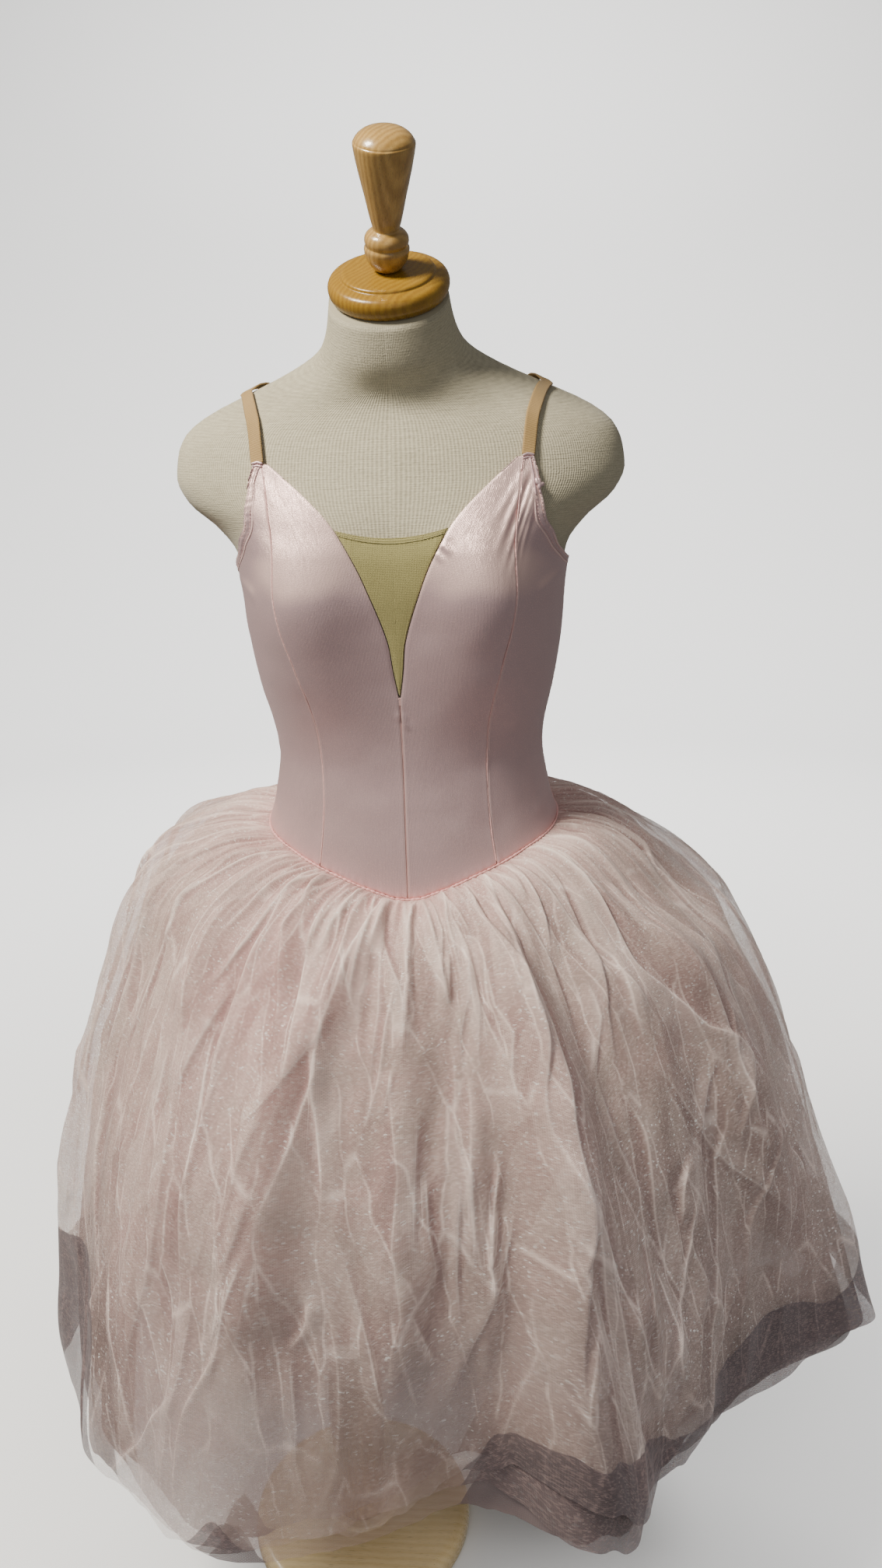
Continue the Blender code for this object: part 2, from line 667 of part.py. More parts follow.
def shoulder_height(angle, across):
    """Height, on the upper side of the shoulder, at which the form's section reaches this far
    out at this angle, by halving."""
    low, high = np.full(angle.shape, 1.25), np.full(angle.shape, 1.36)
    for _ in range(40):
        middle = (low + high) / 2
        out = smooth_column(middle, FORM_SECTIONS, 1) * np.abs(np.sin(angle)) ** (2 / SQUARENESS)
        low = np.where(out > across, middle, low)
        high = np.where(out > across, high, middle)
    return (low + high) / 2


def strap_route():
    """Angles and heights of a strap's middle line on the form, front to back."""
    first, last = STRAP_ROUTE[0][0], STRAP_ROUTE[-1][0]
    degrees = np.linspace(first, last, 15)
    angle = np.radians(degrees)
    height = shoulder_height(angle, smooth_column(degrees, STRAP_ROUTE, 1))
    height[0] = BODICE_TOP + SEAM_GAP

    share = np.linspace(0, 1, 7)[1:]
    end_angle = math.pi - angle_at(STRAP_END, BACK_TOP[2][1])
    end = smooth_column(math.degrees(end_angle), BACK_TOP, 1) + STRAP_REST
    down = height[-1] + (end - height[-1]) * share
    across = STRAP_ROUTE[-1][1] + (STRAP_END - STRAP_ROUTE[-1][1]) * share
    return (
        np.concatenate([angle, math.pi - angle_at(across, down)]),
        np.concatenate([height, down]),
    )


def make_straps():
    """Each strap runs from the point of the front over the shoulder to the back's top edge."""
    angle, height = strap_route()
    centre = on_form(angle, height, CLEARANCE)
    normal = form_normal(angle, height)
    along = np.gradient(centre, axis=0)
    side = np.cross(along, normal)
    side /= np.linalg.norm(side, axis=-1, keepdims=True)
    for half, sign in (("left", 1), ("right", -1)):
        edge = STRAP_WIDTH / 2 * np.array([-1, 1]) * sign
        points = centre[:, None, :] + side[:, None, :] * edge[None, :, None]
        points[..., 0] = FORM_X + sign * (points[..., 0] - FORM_X)
        cloth(f"strap_{half}", points, ELASTIC, "elastic")


# ---------------------------------------------------------------- the skirt
def width_angles(columns):
    """Angles across half the skirt. Columns fall on the gathers' tops and bottoms, and the two
    side seams half way between them, where both widths slope alike."""
    step = math.pi / columns
    if columns == 2 * GATHERS:
        return np.linspace(-math.pi / 2, math.pi / 2, columns + 1)
    inner = -math.pi / 2 + step * (np.arange(columns) + 0.5)
    return np.concatenate([[-math.pi / 2], inner, [math.pi / 2]])


def make_skirt():
    """Each layer is a front and a back width of tulle, seamed at the sides."""
    lengths = np.array([row[0] for row in SKIRT_PROFILE])
    for layer in SKIRT_LAYERS:
        for width, middle in (("front", 0.0), ("back", math.pi)):
            angles = middle + width_angles(layer[1] // 2)
            points = skirt_point(angles[None, :], lengths[:, None], layer)
            aside = SEAM_GAP / 2 * np.array([0, -1 if width == "front" else 1, 0])
            points[:, 0] += aside
            points[:, -1] += aside
            cloth(f"skirt_{layer[0]}_{width}", points, TULLE, "tulle", offset=0.0)


clear_scene()
COLLECTION = make_collection()
make_torso()
make_neck_block()
make_finial()
make_stand()
make_bodice()
make_straps()
make_skirt()
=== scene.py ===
import math

import bpy
import numpy as np
from mathutils import Euler, Matrix, Vector


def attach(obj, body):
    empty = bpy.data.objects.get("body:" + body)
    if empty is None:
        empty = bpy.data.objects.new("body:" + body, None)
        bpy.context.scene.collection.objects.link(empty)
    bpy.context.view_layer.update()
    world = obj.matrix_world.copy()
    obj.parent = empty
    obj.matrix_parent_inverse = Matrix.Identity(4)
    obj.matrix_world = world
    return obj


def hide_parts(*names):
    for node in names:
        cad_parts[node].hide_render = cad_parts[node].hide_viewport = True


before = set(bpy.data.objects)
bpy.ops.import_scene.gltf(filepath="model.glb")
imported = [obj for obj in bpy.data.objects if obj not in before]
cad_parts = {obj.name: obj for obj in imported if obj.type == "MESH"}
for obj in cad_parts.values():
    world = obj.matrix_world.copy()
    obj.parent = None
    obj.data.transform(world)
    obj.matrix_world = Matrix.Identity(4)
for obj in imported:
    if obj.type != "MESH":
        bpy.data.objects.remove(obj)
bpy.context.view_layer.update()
print("frame loaded")


# camera, lights and stage
camera = {
    "place": (0.1939, -1.1008, 1.3031),
    "pitch": 17.69,                     # degrees down
    "yaw": 3.5,                         # degrees to its left
    "roll": 2.0,                        # degrees clockwise
    "lens": 27.036,
    "sensorHeight": 36.0,
}


def makeCamera():
    data = bpy.data.cameras.new("camera")
    data.sensor_fit = "VERTICAL"
    data.sensor_height = camera["sensorHeight"]
    data.lens = camera["lens"]
    thing = bpy.data.objects.new("camera", data)
    bpy.context.scene.collection.objects.link(thing)
    turn = Matrix.Rotation(math.radians(camera["yaw"]), 4, "Z")
    tip = Matrix.Rotation(math.radians(90 - camera["pitch"]), 4, "X")
    roll = Matrix.Rotation(-math.radians(camera["roll"]), 4, "Z")
    thing.matrix_world = Matrix.Translation(camera["place"]) @ turn @ tip @ roll
    bpy.context.scene.camera = thing


studio = {
    "key": {"place": (-1.08, -0.90, 2.96), "aim": (0.05, 0.0, 1.02), "size": 0.7, "power": 115.0,
            "colour": (1.0, 0.935, 0.815)},
    "fill": {"place": (0.7, -2.8, 1.7), "aim": (0.05, 0.0, 1.02), "size": 2.4, "power": 6.0,
             "colour": (0.95, 0.97, 1.0)},
    # lights all round that face outwards, onto the dish's wall only
    "washes": 4, "washOut": 2.6, "washHeight": 3.2, "washAim": (4.6, 1.0), "washSize": 2.6,
    "washPower": 300.0,
    "world": (0.94, 0.92, 0.88), "worldStrength": 0.215,
    "floor": (0.86, 0.855, 0.845),
    "flat": 3.6, "curve": 2.2, "top": 5.6,      # the dish's flat floor, its curve and its rim
    "lightBounces": 14,                 # see-through faces that one ray may cross
}


def addArea(name, place, aim, size, power, colour):
    data = bpy.data.lights.new(name, "AREA")
    data.shape = "DISK"
    data.size = size
    data.energy = power
    data.color = colour
    thing = bpy.data.objects.new(name, data)
    bpy.context.scene.collection.objects.link(thing)
    thing.location = place
    thing.rotation_euler = (Vector(aim) - Vector(place)).to_track_quat("-Z", "Y").to_euler()
    thing.visible_camera = False


def makeStudio():
    for name in ("key", "fill"):
        addArea(name, **studio[name])
    for turn in range(studio["washes"]):
        angle = math.pi / 2 + turn * 2 * math.pi / studio["washes"]
        way = np.array([math.cos(angle), math.sin(angle)])
        out, up = studio["washAim"]
        addArea(f"wash{turn}", (*(studio["washOut"] * way), studio["washHeight"]), (*(out * way), up),
                studio["washSize"], studio["washPower"], (1.0, 1.0, 1.0))
    world = bpy.data.worlds.new("studio")
    bpy.context.scene.world = world
    world.use_nodes = True
    sky = world.node_tree.nodes["Background"]
    sky.inputs["Color"].default_value = (*studio["world"], 1)
    sky.inputs["Strength"].default_value = studio["worldStrength"]
    bpy.context.scene.cycles.transparent_max_bounces = studio["lightBounces"]

    # a round dish: a flat floor that turns up all round into a wall through a quarter circle
    turn = np.linspace(0, math.pi / 2, 24)
    out = np.concatenate([[0.002, 0.5, 2.0], studio["flat"] + studio["curve"] * np.sin(turn),
                          [studio["flat"] + studio["curve"]]])
    height = np.concatenate([[0, 0, 0], studio["curve"] * (1 - np.cos(turn)), [studio["top"]]])
    around = np.linspace(0, 2 * math.pi, 96, endpoint=False)
    points = np.stack([out[:, None] * np.cos(around), out[:, None] * np.sin(around),
                       height[:, None] + 0 * around], -1)
    floor = gridPiece("studioFloor", points, plainPaper(), ring=True, flip=True)
    floor.visible_diffuse = False       # it throws no light back onto the part
    floor.visible_glossy = False


# smooth curves through short tables
def smoothColumn(at, table, column):
    # Monotone cubic: each slope is the harmonic mean of its two neighbours, or flat at a turn.
    rows = np.array(table, float)
    xs, ys = rows[:, 0], rows[:, column]
    step = np.diff(xs)
    rise = np.diff(ys) / step
    slope = np.empty_like(ys)
    slope[0], slope[-1] = rise[0], rise[-1]
    same = rise[:-1] * rise[1:] > 0
    before = np.where(same, rise[:-1], 1.0)
    after = np.where(same, rise[1:], 1.0)
    one, two = 2 * step[1:] + step[:-1], step[1:] + 2 * step[:-1]
    slope[1:-1] = np.where(same, (one + two) / (one / before + two / after), 0.0)
    at = np.clip(at, xs[0], xs[-1])
    i = np.clip(np.searchsorted(xs, at) - 1, 0, len(xs) - 2)
    t = (at - xs[i]) / step[i]
    return ((2 * t**3 - 3 * t**2 + 1) * ys[i] + (t**3 - 2 * t**2 + t) * step[i] * slope[i]
            + (3 * t**2 - 2 * t**3) * ys[i + 1] + (t**3 - t**2) * step[i] * slope[i + 1])


def ease(value):
    # 0 below 0, 1 above 1, and 3v^2 - 2v^3 between
    value = np.clip(value, 0.0, 1.0)
    return value * value * (3 - 2 * value)


def bell(away, width):
    # a soft ridge: e to the minus (away / width) squared
    return np.exp(-(away / width) ** 2)


def softNoise(across, along, columns, rows, seed):
    # Random heights between -1 and 1 on a lattice that closes on itself both ways, eased between.
    table = np.random.default_rng(seed).uniform(-1, 1, (rows, columns))
    x, y = np.broadcast_arrays(across % 1.0 * columns, along % 1.0 * rows)
    left, low = np.floor(x).astype(int), np.floor(y).astype(int)
    u, v = ease(x - left), ease(y - low)
    left, low = left % columns, low % rows
    right, high = (left + 1) % columns, (low + 1) % rows
    lower = table[low, left] * (1 - u) + table[low, right] * u
    upper = table[high, left] * (1 - u) + table[high, right] * u
    return lower * (1 - v) + upper * v


# meshes
def addMesh(name, points, loops, starts, material):
    mesh = bpy.data.meshes.new(name)
    mesh.vertices.add(points.size // 3)
    mesh.vertices.foreach_set("co", points.astype(np.float32).ravel())
    mesh.loops.add(len(loops))
    mesh.loops.foreach_set("vertex_index", loops.astype(np.int32))
    mesh.polygons.add(len(starts))
    mesh.polygons.foreach_set("loop_start", starts.astype(np.int32))
    mesh.materials.append(material)
    return mesh


def addPiece(mesh):
    mesh.update(calc_edges=True)
    mesh.validate()
    mesh.shade_smooth()
    thing = bpy.data.objects.new(mesh.name, mesh)
    bpy.context.scene.collection.objects.link(thing)
    return thing


def gridPiece(name, points, material, uv=None, ring=False, flip=False, caps=False, marks=None):
    # Rows and columns of points become quads. A ring joins its last column to its first, and its
    # UV has one column more. Caps close the first and last rings with flat faces. Marks are named
    # numbers, or vectors, for each point.
    rows, columns = points.shape[:2]
    index = np.arange(rows * columns).reshape(rows, columns)
    after = np.roll(index, -1, 1)
    uvIndex = np.arange(rows * (columns + 1)).reshape(rows, columns + 1)
    if not ring:
        uvIndex = index
        index, after = index[:, :-1], after[:, :-1]
    quads = np.stack([index[:-1], after[:-1], after[1:], index[1:]], -1).reshape(-1, 4)
    corners = np.stack([uvIndex[:-1, :-1], uvIndex[:-1, 1:], uvIndex[1:, 1:], uvIndex[1:, :-1]], -1)
    corners = corners.reshape(-1, 4)
    if flip:
        quads, corners = quads[:, ::-1], corners[:, ::-1]
    loops = quads.ravel()
    starts = np.arange(0, len(loops), 4)
    if caps:
        low, high = index[0, ::-1], index[-1]
        if flip:
            low, high = low[::-1], high[::-1]
        starts = np.concatenate([starts, [len(loops), len(loops) + columns]])
        loops = np.concatenate([loops, low, high])
    mesh = addMesh(name, points, loops, starts, material)
    if uv is not None:
        flat = np.zeros((len(loops), 2), np.float32)
        flat[:corners.size] = uv.reshape(-1, 2)[corners.ravel()]
        mesh.uv_layers.new(name="UVMap").uv.foreach_set("vector", flat.ravel())
    for mark, values in (marks or {}).items():
        kind, field = ("FLOAT_VECTOR", "vector") if values.ndim == 3 else ("FLOAT", "value")
        layer = mesh.attributes.new(mark, kind, "POINT")
        layer.data.foreach_set(field, values.astype(np.float32).ravel())
    return addPiece(mesh)


def thicken(thing, thickness):
    wall = thing.modifiers.new("wall", "SOLIDIFY")
    wall.thickness = thickness
    wall.offset = -1.0
    wall.use_even_offset = False


def finishPiece(thing, slot, *nodes):
    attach(thing, "root")
    if nodes:
        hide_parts(*nodes)


def tubeGrids(centres, normals, radii, sides):
    # Round tubes along many paths at once: paths x points x sides. Each ring stands square to the
    # path, in the plane of the given normal and the path's own side.
    along = np.gradient(centres, axis=1)
    along /= np.linalg.norm(along, axis=-1, keepdims=True)
    side = np.cross(along, normals)
    side /= np.linalg.norm(side, axis=-1, keepdims=True)
    up = np.cross(side, along)
    turn = np.linspace(0, 2 * math.pi, sides, endpoint=False)
    outward = (side[:, :, None] * np.cos(turn)[None, None, :, None]
               + up[:, :, None] * np.sin(turn)[None, None, :, None])
    return centres[:, :, None] + outward * radii[:, :, None, None]


def tubePiece(name, tubes, sides, material, slot):
    # Tubes of (path, normals, radii) in one mesh, each closed by a flat face at both ends.
    centres, normals, radii = (np.array([tube[part] for tube in tubes]) for part in range(3))
    grids = tubeGrids(centres, normals, radii, sides)
    paths, points = grids.shape[:2]
    first = (np.arange(paths) * points * sides)[:, None, None]
    index = first + np.arange(points * sides).reshape(points, sides)
    after = np.roll(index, -1, 2)
    quads = np.stack([index[:, :-1], after[:, :-1], after[:, 1:], index[:, 1:]], -1).reshape(-1, 4)
    caps = np.concatenate([index[:, 0, ::-1], index[:, -1]])
    loops = np.concatenate([quads.ravel(), caps.ravel()])
    starts = np.concatenate([np.arange(len(quads)) * 4, quads.size + np.arange(len(caps)) * sides])
    finishPiece(addPiece(addMesh(name, grids, loops, starts, material)), slot)


# material parts
waveInMetre = 0.314                     # a wave texture's scale for one wave in a metre


def newMaterial(name, sockets):
    material = bpy.data.materials.new(name)
    material.use_nodes = True
    shader = material.node_tree.nodes["Principled BSDF"]
    for socket, value in sockets.items():
        shader.inputs[socket].default_value = value
    return material.node_tree, shader, material


def addNode(tree, kind, values=None, **settings):
    node = tree.nodes.new(kind)
    for key, value in settings.items():
        setattr(node, key, value)
    for key, value in (values or {}).items():
        if isinstance(value, Signal):
            tree.links.new(value.socket, node.inputs[key])
        else:
            node.inputs[key].default_value = value
    return node


class Signal:
    # A number, vector or colour that varies over a piece. Sums, products and the rest below add
    # nodes to its material.
    def __init__(self, tree, socket):
        self.tree, self.socket = tree, socket

    def maths(self, operation, other=0.0, clamp=False, kind="ShaderNodeMath"):
        node = addNode(self.tree, kind, {0: self, 1: other}, operation=operation)
        if clamp:
            node.use_clamp = True
        return Signal(self.tree, node.outputs[0])

    def vectorMaths(self, operation, other):
        return self.maths(operation, other, kind="ShaderNodeVectorMath")

    def __add__(self, other):
        return self.maths("ADD", other)

    def __sub__(self, other):
        return self.maths("SUBTRACT", other)

    def __mul__(self, other):
        return self.maths("MULTIPLY", other)

    def bell(self):
        # e to the minus this squared
        return (self * self * -1.0).maths("EXPONENT")

    def remap(self, low, high, newLow=0.0, newHigh=1.0):
        # a straight line from low to high, level beyond both
        ends = {"From Min": low, "From Max": high, "To Min": newLow, "To Max": newHigh}
        node = addNode(self.tree, "ShaderNodeMapRange", {"Value": self, **ends})
        return Signal(self.tree, node.outputs["Result"])

    def mix(self, first, second):
        # from the first colour at 0 to the second at 1
        colours = [colour if isinstance(colour, Signal) else (*colour, 1) for colour in (first, second)]
        node = addNode(self.tree, "ShaderNodeMix", data_type="RGBA")
        for socket, value in ((0, self), (6, colours[0]), (7, colours[1])):
            if isinstance(value, Signal):
                self.tree.links.new(value.socket, node.inputs[socket])
            else:
                node.inputs[socket].default_value = value
        return Signal(self.tree, node.outputs[2])

    def split(self, kind="ShaderNodeSeparateXYZ"):
        return [Signal(self.tree, socket) for socket in addNode(self.tree, kind, {0: self}).outputs]


def placeOf(tree, kind="UV"):
    return Signal(tree, addNode(tree, "ShaderNodeTexCoord").outputs[kind])


def markOf(tree, name, output="Fac"):
    return Signal(tree, addNode(tree, "ShaderNodeAttribute", attribute_name=name).outputs[output])


def stretched(vector, scale=(1, 1, 1), turn=(0, 0, 0)):
    values = {"Vector": vector, "Scale": scale, "Rotation": turn}
    return Signal(vector.tree, addNode(vector.tree, "ShaderNodeMapping", values).outputs["Vector"])


def noiseOf(vector, scale, detail=2.0, roughness=0.5, output="Fac"):
    values = {"Vector": vector, "Scale": scale, "Detail": detail, "Roughness": roughness}
    return Signal(vector.tree, addNode(vector.tree, "ShaderNodeTexNoise", values).outputs[output])


def wavesOf(vector, scale, distortion=0.0, direction="X", detailScale=1.0):
    values = {"Vector": vector, "Scale": scale, "Distortion": distortion, "Detail": 1.0,
              "Detail Scale": detailScale}
    node = addNode(vector.tree, "ShaderNodeTexWave", values, wave_type="BANDS", bands_direction=direction)
    return Signal(vector.tree, node.outputs["Fac"])


def cellsOf(vector, scale, feature="F1", output="Color", randomness=1.0):
    values = {"Vector": vector, "Scale": scale, "Randomness": randomness}
    node = addNode(vector.tree, "ShaderNodeTexVoronoi", values, voronoi_dimensions="2D", feature=feature)
    return Signal(vector.tree, node.outputs[output])


def feed(shader, socket, signal):
    signal.tree.links.new(signal.socket, shader.inputs[socket])


def bumpTo(shader, height, distance):
    node = addNode(height.tree, "ShaderNodeBump", {"Height": height, "Distance": distance})
    height.tree.links.new(node.outputs[0], shader.inputs["Normal"])


def darker(colour, share):
    return tuple(share * part for part in colour)


def plainPaper():
    # matt paper: a faint slow mottle of two close tones
    tree, shader, material = newMaterial("studioPaper", {"Roughness": 0.9})
    mottle = noiseOf(placeOf(tree, "Object"), 1.5, 3.0)
    feed(shader, "Base Color", mottle.mix(darker(studio["floor"], 0.985), studio["floor"]))
    return material


# the form's own shape, which all the cloth follows
form = {
    "x": 0.100, "y": -0.015,
    "bottom": 0.600, "bottomRise": 0.012, "bottomSide": 0.93, "bottomDepth": 0.90,
    "squareness": 2.2,                  # power of the rounded oval that its sections are
    "bust": {"apart": 0.088, "height": 1.158, "depth": 0.026, "wide": 0.052, "tall": 0.052},
    "full": [
        # from the centre, height, rise, half width, half height
        (0.086, 1.134, 0.0040, 0.040, 0.034), (0.075, 1.085, 0.0140, 0.052, 0.050),
    ],
    "sections": [
        # height, half, front, back, shift, lean
        (0.600, 0.1500, 0.0860, 0.0940, 0.000, 0.00),
        (0.640, 0.1610, 0.0940, 0.1040, 0.000, 0.00),
        (0.720, 0.1680, 0.1010, 0.1120, 0.000, 0.00),
        (0.800, 0.1670, 0.1040, 0.1120, 0.000, 0.00),
        (0.860, 0.1570, 0.1010, 0.1030, 0.000, 0.00),
        (0.920, 0.1390, 0.0950, 0.0890, 0.000, 0.00),
        (0.960, 0.1275, 0.0900, 0.0800, 0.000, 0.00),
        (1.003, 0.1215, 0.0865, 0.0765, 0.000, 0.00),
        (1.060, 0.1290, 0.0890, 0.0830, 0.000, 0.00),
        (1.120, 0.1390, 0.0950, 0.0920, 0.000, 0.00),
        (1.160, 0.1445, 0.0980, 0.0970, 0.000, 0.00),
        (1.185, 0.1490, 0.0980, 0.0990, 0.000, 0.00),
        (1.207, 0.1650, 0.0950, 0.0990, 0.000, 0.00),
        (1.230, 0.1910, 0.0880, 0.0970, 0.000, 0.00),
        (1.250, 0.2000, 0.0800, 0.0940, 0.000, 0.00),
        (1.270, 0.1975, 0.0730, 0.0900, 0.000, 0.03),
        (1.288, 0.1890, 0.0660, 0.0850, 0.000, 0.08),
        (1.302, 0.1710, 0.0610, 0.0790, 0.000, 0.14),
        (1.316, 0.1400, 0.0560, 0.0730, -0.001, 0.20),
        (1.328, 0.1110, 0.0530, 0.0680, -0.004, 0.27),
        (1.339, 0.0880, 0.0510, 0.0620, -0.008, 0.35),
        (1.350, 0.0720, 0.0495, 0.0570, -0.013, 0.42),
        (1.361, 0.0630, 0.0485, 0.0530, -0.018, 0.48),
        (1.374, 0.0575, 0.0480, 0.0500, -0.023, 0.53),
        (1.389, 0.0535, 0.0475, 0.0480, -0.027, 0.56),
        (1.412, 0.0500, 0.0465, 0.0465, -0.032, 0.577),
    ],
}
seamGap = 0.0004
clearance = 0.0024                      # between the form and the cloth on it


def formPoint(angle, height):
    # Section through a rounded oval |x/a|^2.2 + |y/b|^2.2 = 1, its sizes read from the table by
    # height, with two bell-shaped mounds in front. Angle 0 is the centre front, towards +X.
    angle, height = np.broadcast_arrays(np.asarray(angle, float), np.asarray(height, float))
    half, front, back, shift, lean = (
        smoothColumn(height, form["sections"], column) for column in range(1, 6)
    )
    sine, cosine = np.sin(angle), np.cos(angle)
    x = half * np.sign(sine) * np.abs(sine) ** (2 / form["squareness"])
    depth = np.where(cosine > 0, front, back)
    y = -depth * np.sign(cosine) * np.abs(cosine) ** (2 / form["squareness"])
    bust = form["bust"]
    mound = bell(np.abs(x) - bust["apart"], bust["wide"]) * bell(height - bust["height"], bust["tall"])
    y = y - bust["depth"] * mound * np.sqrt(np.clip(cosine, 0, 1)) + shift
    return np.stack([form["x"] + x, form["y"] + y, height + lean * y], -1)


def formNormal(angle, height):
    # cross product of two small steps on the surface
    small = 1e-3
    across = formPoint(angle + small, height) - formPoint(angle - small, height)
    along = formPoint(angle, height + small) - formPoint(angle, height - small)
    normal = np.cross(across, along)
    return normal / np.linalg.norm(normal, axis=-1, keepdims=True)


def onForm(angle, height, lift):
    # The form's point, moved out along its normal; lift may differ from point to point. Cloth
    # stands off further below each mound of the bust, by a bell across and a bell upwards.
    points = formPoint(angle, height)
    across = np.abs(points[..., 0] - form["x"])
    for apart, middle, rise, wide, tall in form["full"]:
        more = rise * bell(across - apart, wide) * bell(height - middle, tall)
        lift = lift + more * (np.cos(angle) > 0)
    return points + np.asarray(lift)[..., None] * formNormal(angle, height)


def angleAt(across, height):
    # angle at which the front of a section is this far from the centre line
    share = np.clip(across / smoothColumn(height, form["sections"], 1), 0, 1)
    return np.arcsin(share ** (form["squareness"] / 2))


# jersey cover of the form
jersey = {
    "columns": 144, "rows": 126,
    "around": 0.130,                    # metres of cloth for each radian
    "rib": 0.0021,                      # from one knit rib to the next
    "colour": (0.650, 0.595, 0.435), "shade": (0.350, 0.315, 0.220),
}


def jerseyMaterial():
    # Ribs and rows of knit, streaks and flecks of yarn, over a slow cloud of tone.
    tree, shader, material = newMaterial("jersey", {"Roughness": 0.88, "Sheen Weight": 0.12})
    uv = placeOf(tree)
    ribs = wavesOf(uv, waveInMetre / jersey["rib"], 0.9, "X", 0.8)
    rows = wavesOf(uv, 1.1 * waveInMetre / jersey["rib"], 1.6, "Y", 0.7)
    streaks = noiseOf(stretched(uv, (70, 620, 1)), 1.0, 2.0, 0.6)
    fleck = noiseOf(stretched(uv, (520, 640, 1)), 1.0, 1.0)
    knit = ribs * 0.40 + rows * 0.14 + streaks * 0.66 + fleck * 0.60
    tone = (knit + noiseOf(uv, 9.0, 3.0) * 0.35).remap(0.70, 1.50)
    feed(shader, "Base Color", tone.mix(jersey["shade"], jersey["colour"]))
    bumpTo(shader, knit, 0.00045)
    return material


def makeJersey():
    # The form's sections, one above the other, under it a rounded edge and a flat board.
    heights = np.linspace(form["bottom"], form["sections"][-1][0], jersey["rows"])
    angles = np.linspace(0, 2 * math.pi, jersey["columns"], endpoint=False)
    points = formPoint(angles[None, :], heights[:, None])
    turn = np.linspace(0, math.pi / 2, 7)[:, None]
    edge = formPoint(angles, form["bottom"])
    inner = edge.copy()
    inner[:, 0] = form["x"] + (edge[:, 0] - form["x"]) * form["bottomSide"]
    inner[:, 1] = form["y"] + (edge[:, 1] - form["y"]) * form["bottomDepth"]
    below = inner[None] + (edge - inner)[None] * np.sin(turn)[..., None]
    below[..., 2] = form["bottom"] + form["bottomRise"] * (1 - np.cos(turn))
    above = heights > form["bottom"] + form["bottomRise"] * 1.3
    points = np.concatenate([below, points[above]])
    across = jersey["around"] * np.linspace(0, 2 * math.pi, jersey["columns"] + 1)
    up = points[:, 0, 2]
    uv = np.stack(np.broadcast_arrays(across[None, :], up[:, None]), -1)
    cover = gridPiece("jerseyCover", points, jerseyMaterial(), uv, ring=True, caps=True)
    finishPiece(cover, "jersey", "torso")


# turned wood and the steel rod
cap = {
    "tilt": math.radians(30), "lean": math.radians(4), "height": 0.0217, "gap": 0.0003,
    "finialFoot": 0.0112,               # radius of the finial where it stands on the block
    "centre": (form["x"] + 0.0010, form["y"] - 0.0320, 1.3936),
}
woods = {
    "honeyWood": {"light": (0.560, 0.350, 0.110), "dark": (0.340, 0.190, 0.048),
                  "turn": (0, 0, 0.5), "coat": 0.50, "rings": 62.0},
    "capWood": {"light": (0.360, 0.205, 0.024), "dark": (0.260, 0.132, 0.014),
                "turn": (0, 0, 0.5), "coat": 0.03, "rings": 62.0},
    "blondWood": {"light": (0.820, 0.630, 0.350), "dark": (0.700, 0.510, 0.250),
                  "turn": (math.pi / 2, math.pi / 2, 0.2), "coat": 0.20, "rings": 31.0},
    "russetWood": {"light": (0.300, 0.115, 0.045), "dark": (0.150, 0.050, 0.020),
                   "turn": (0, 0, 0.4), "coat": 0.50, "rings": 62.0},
}
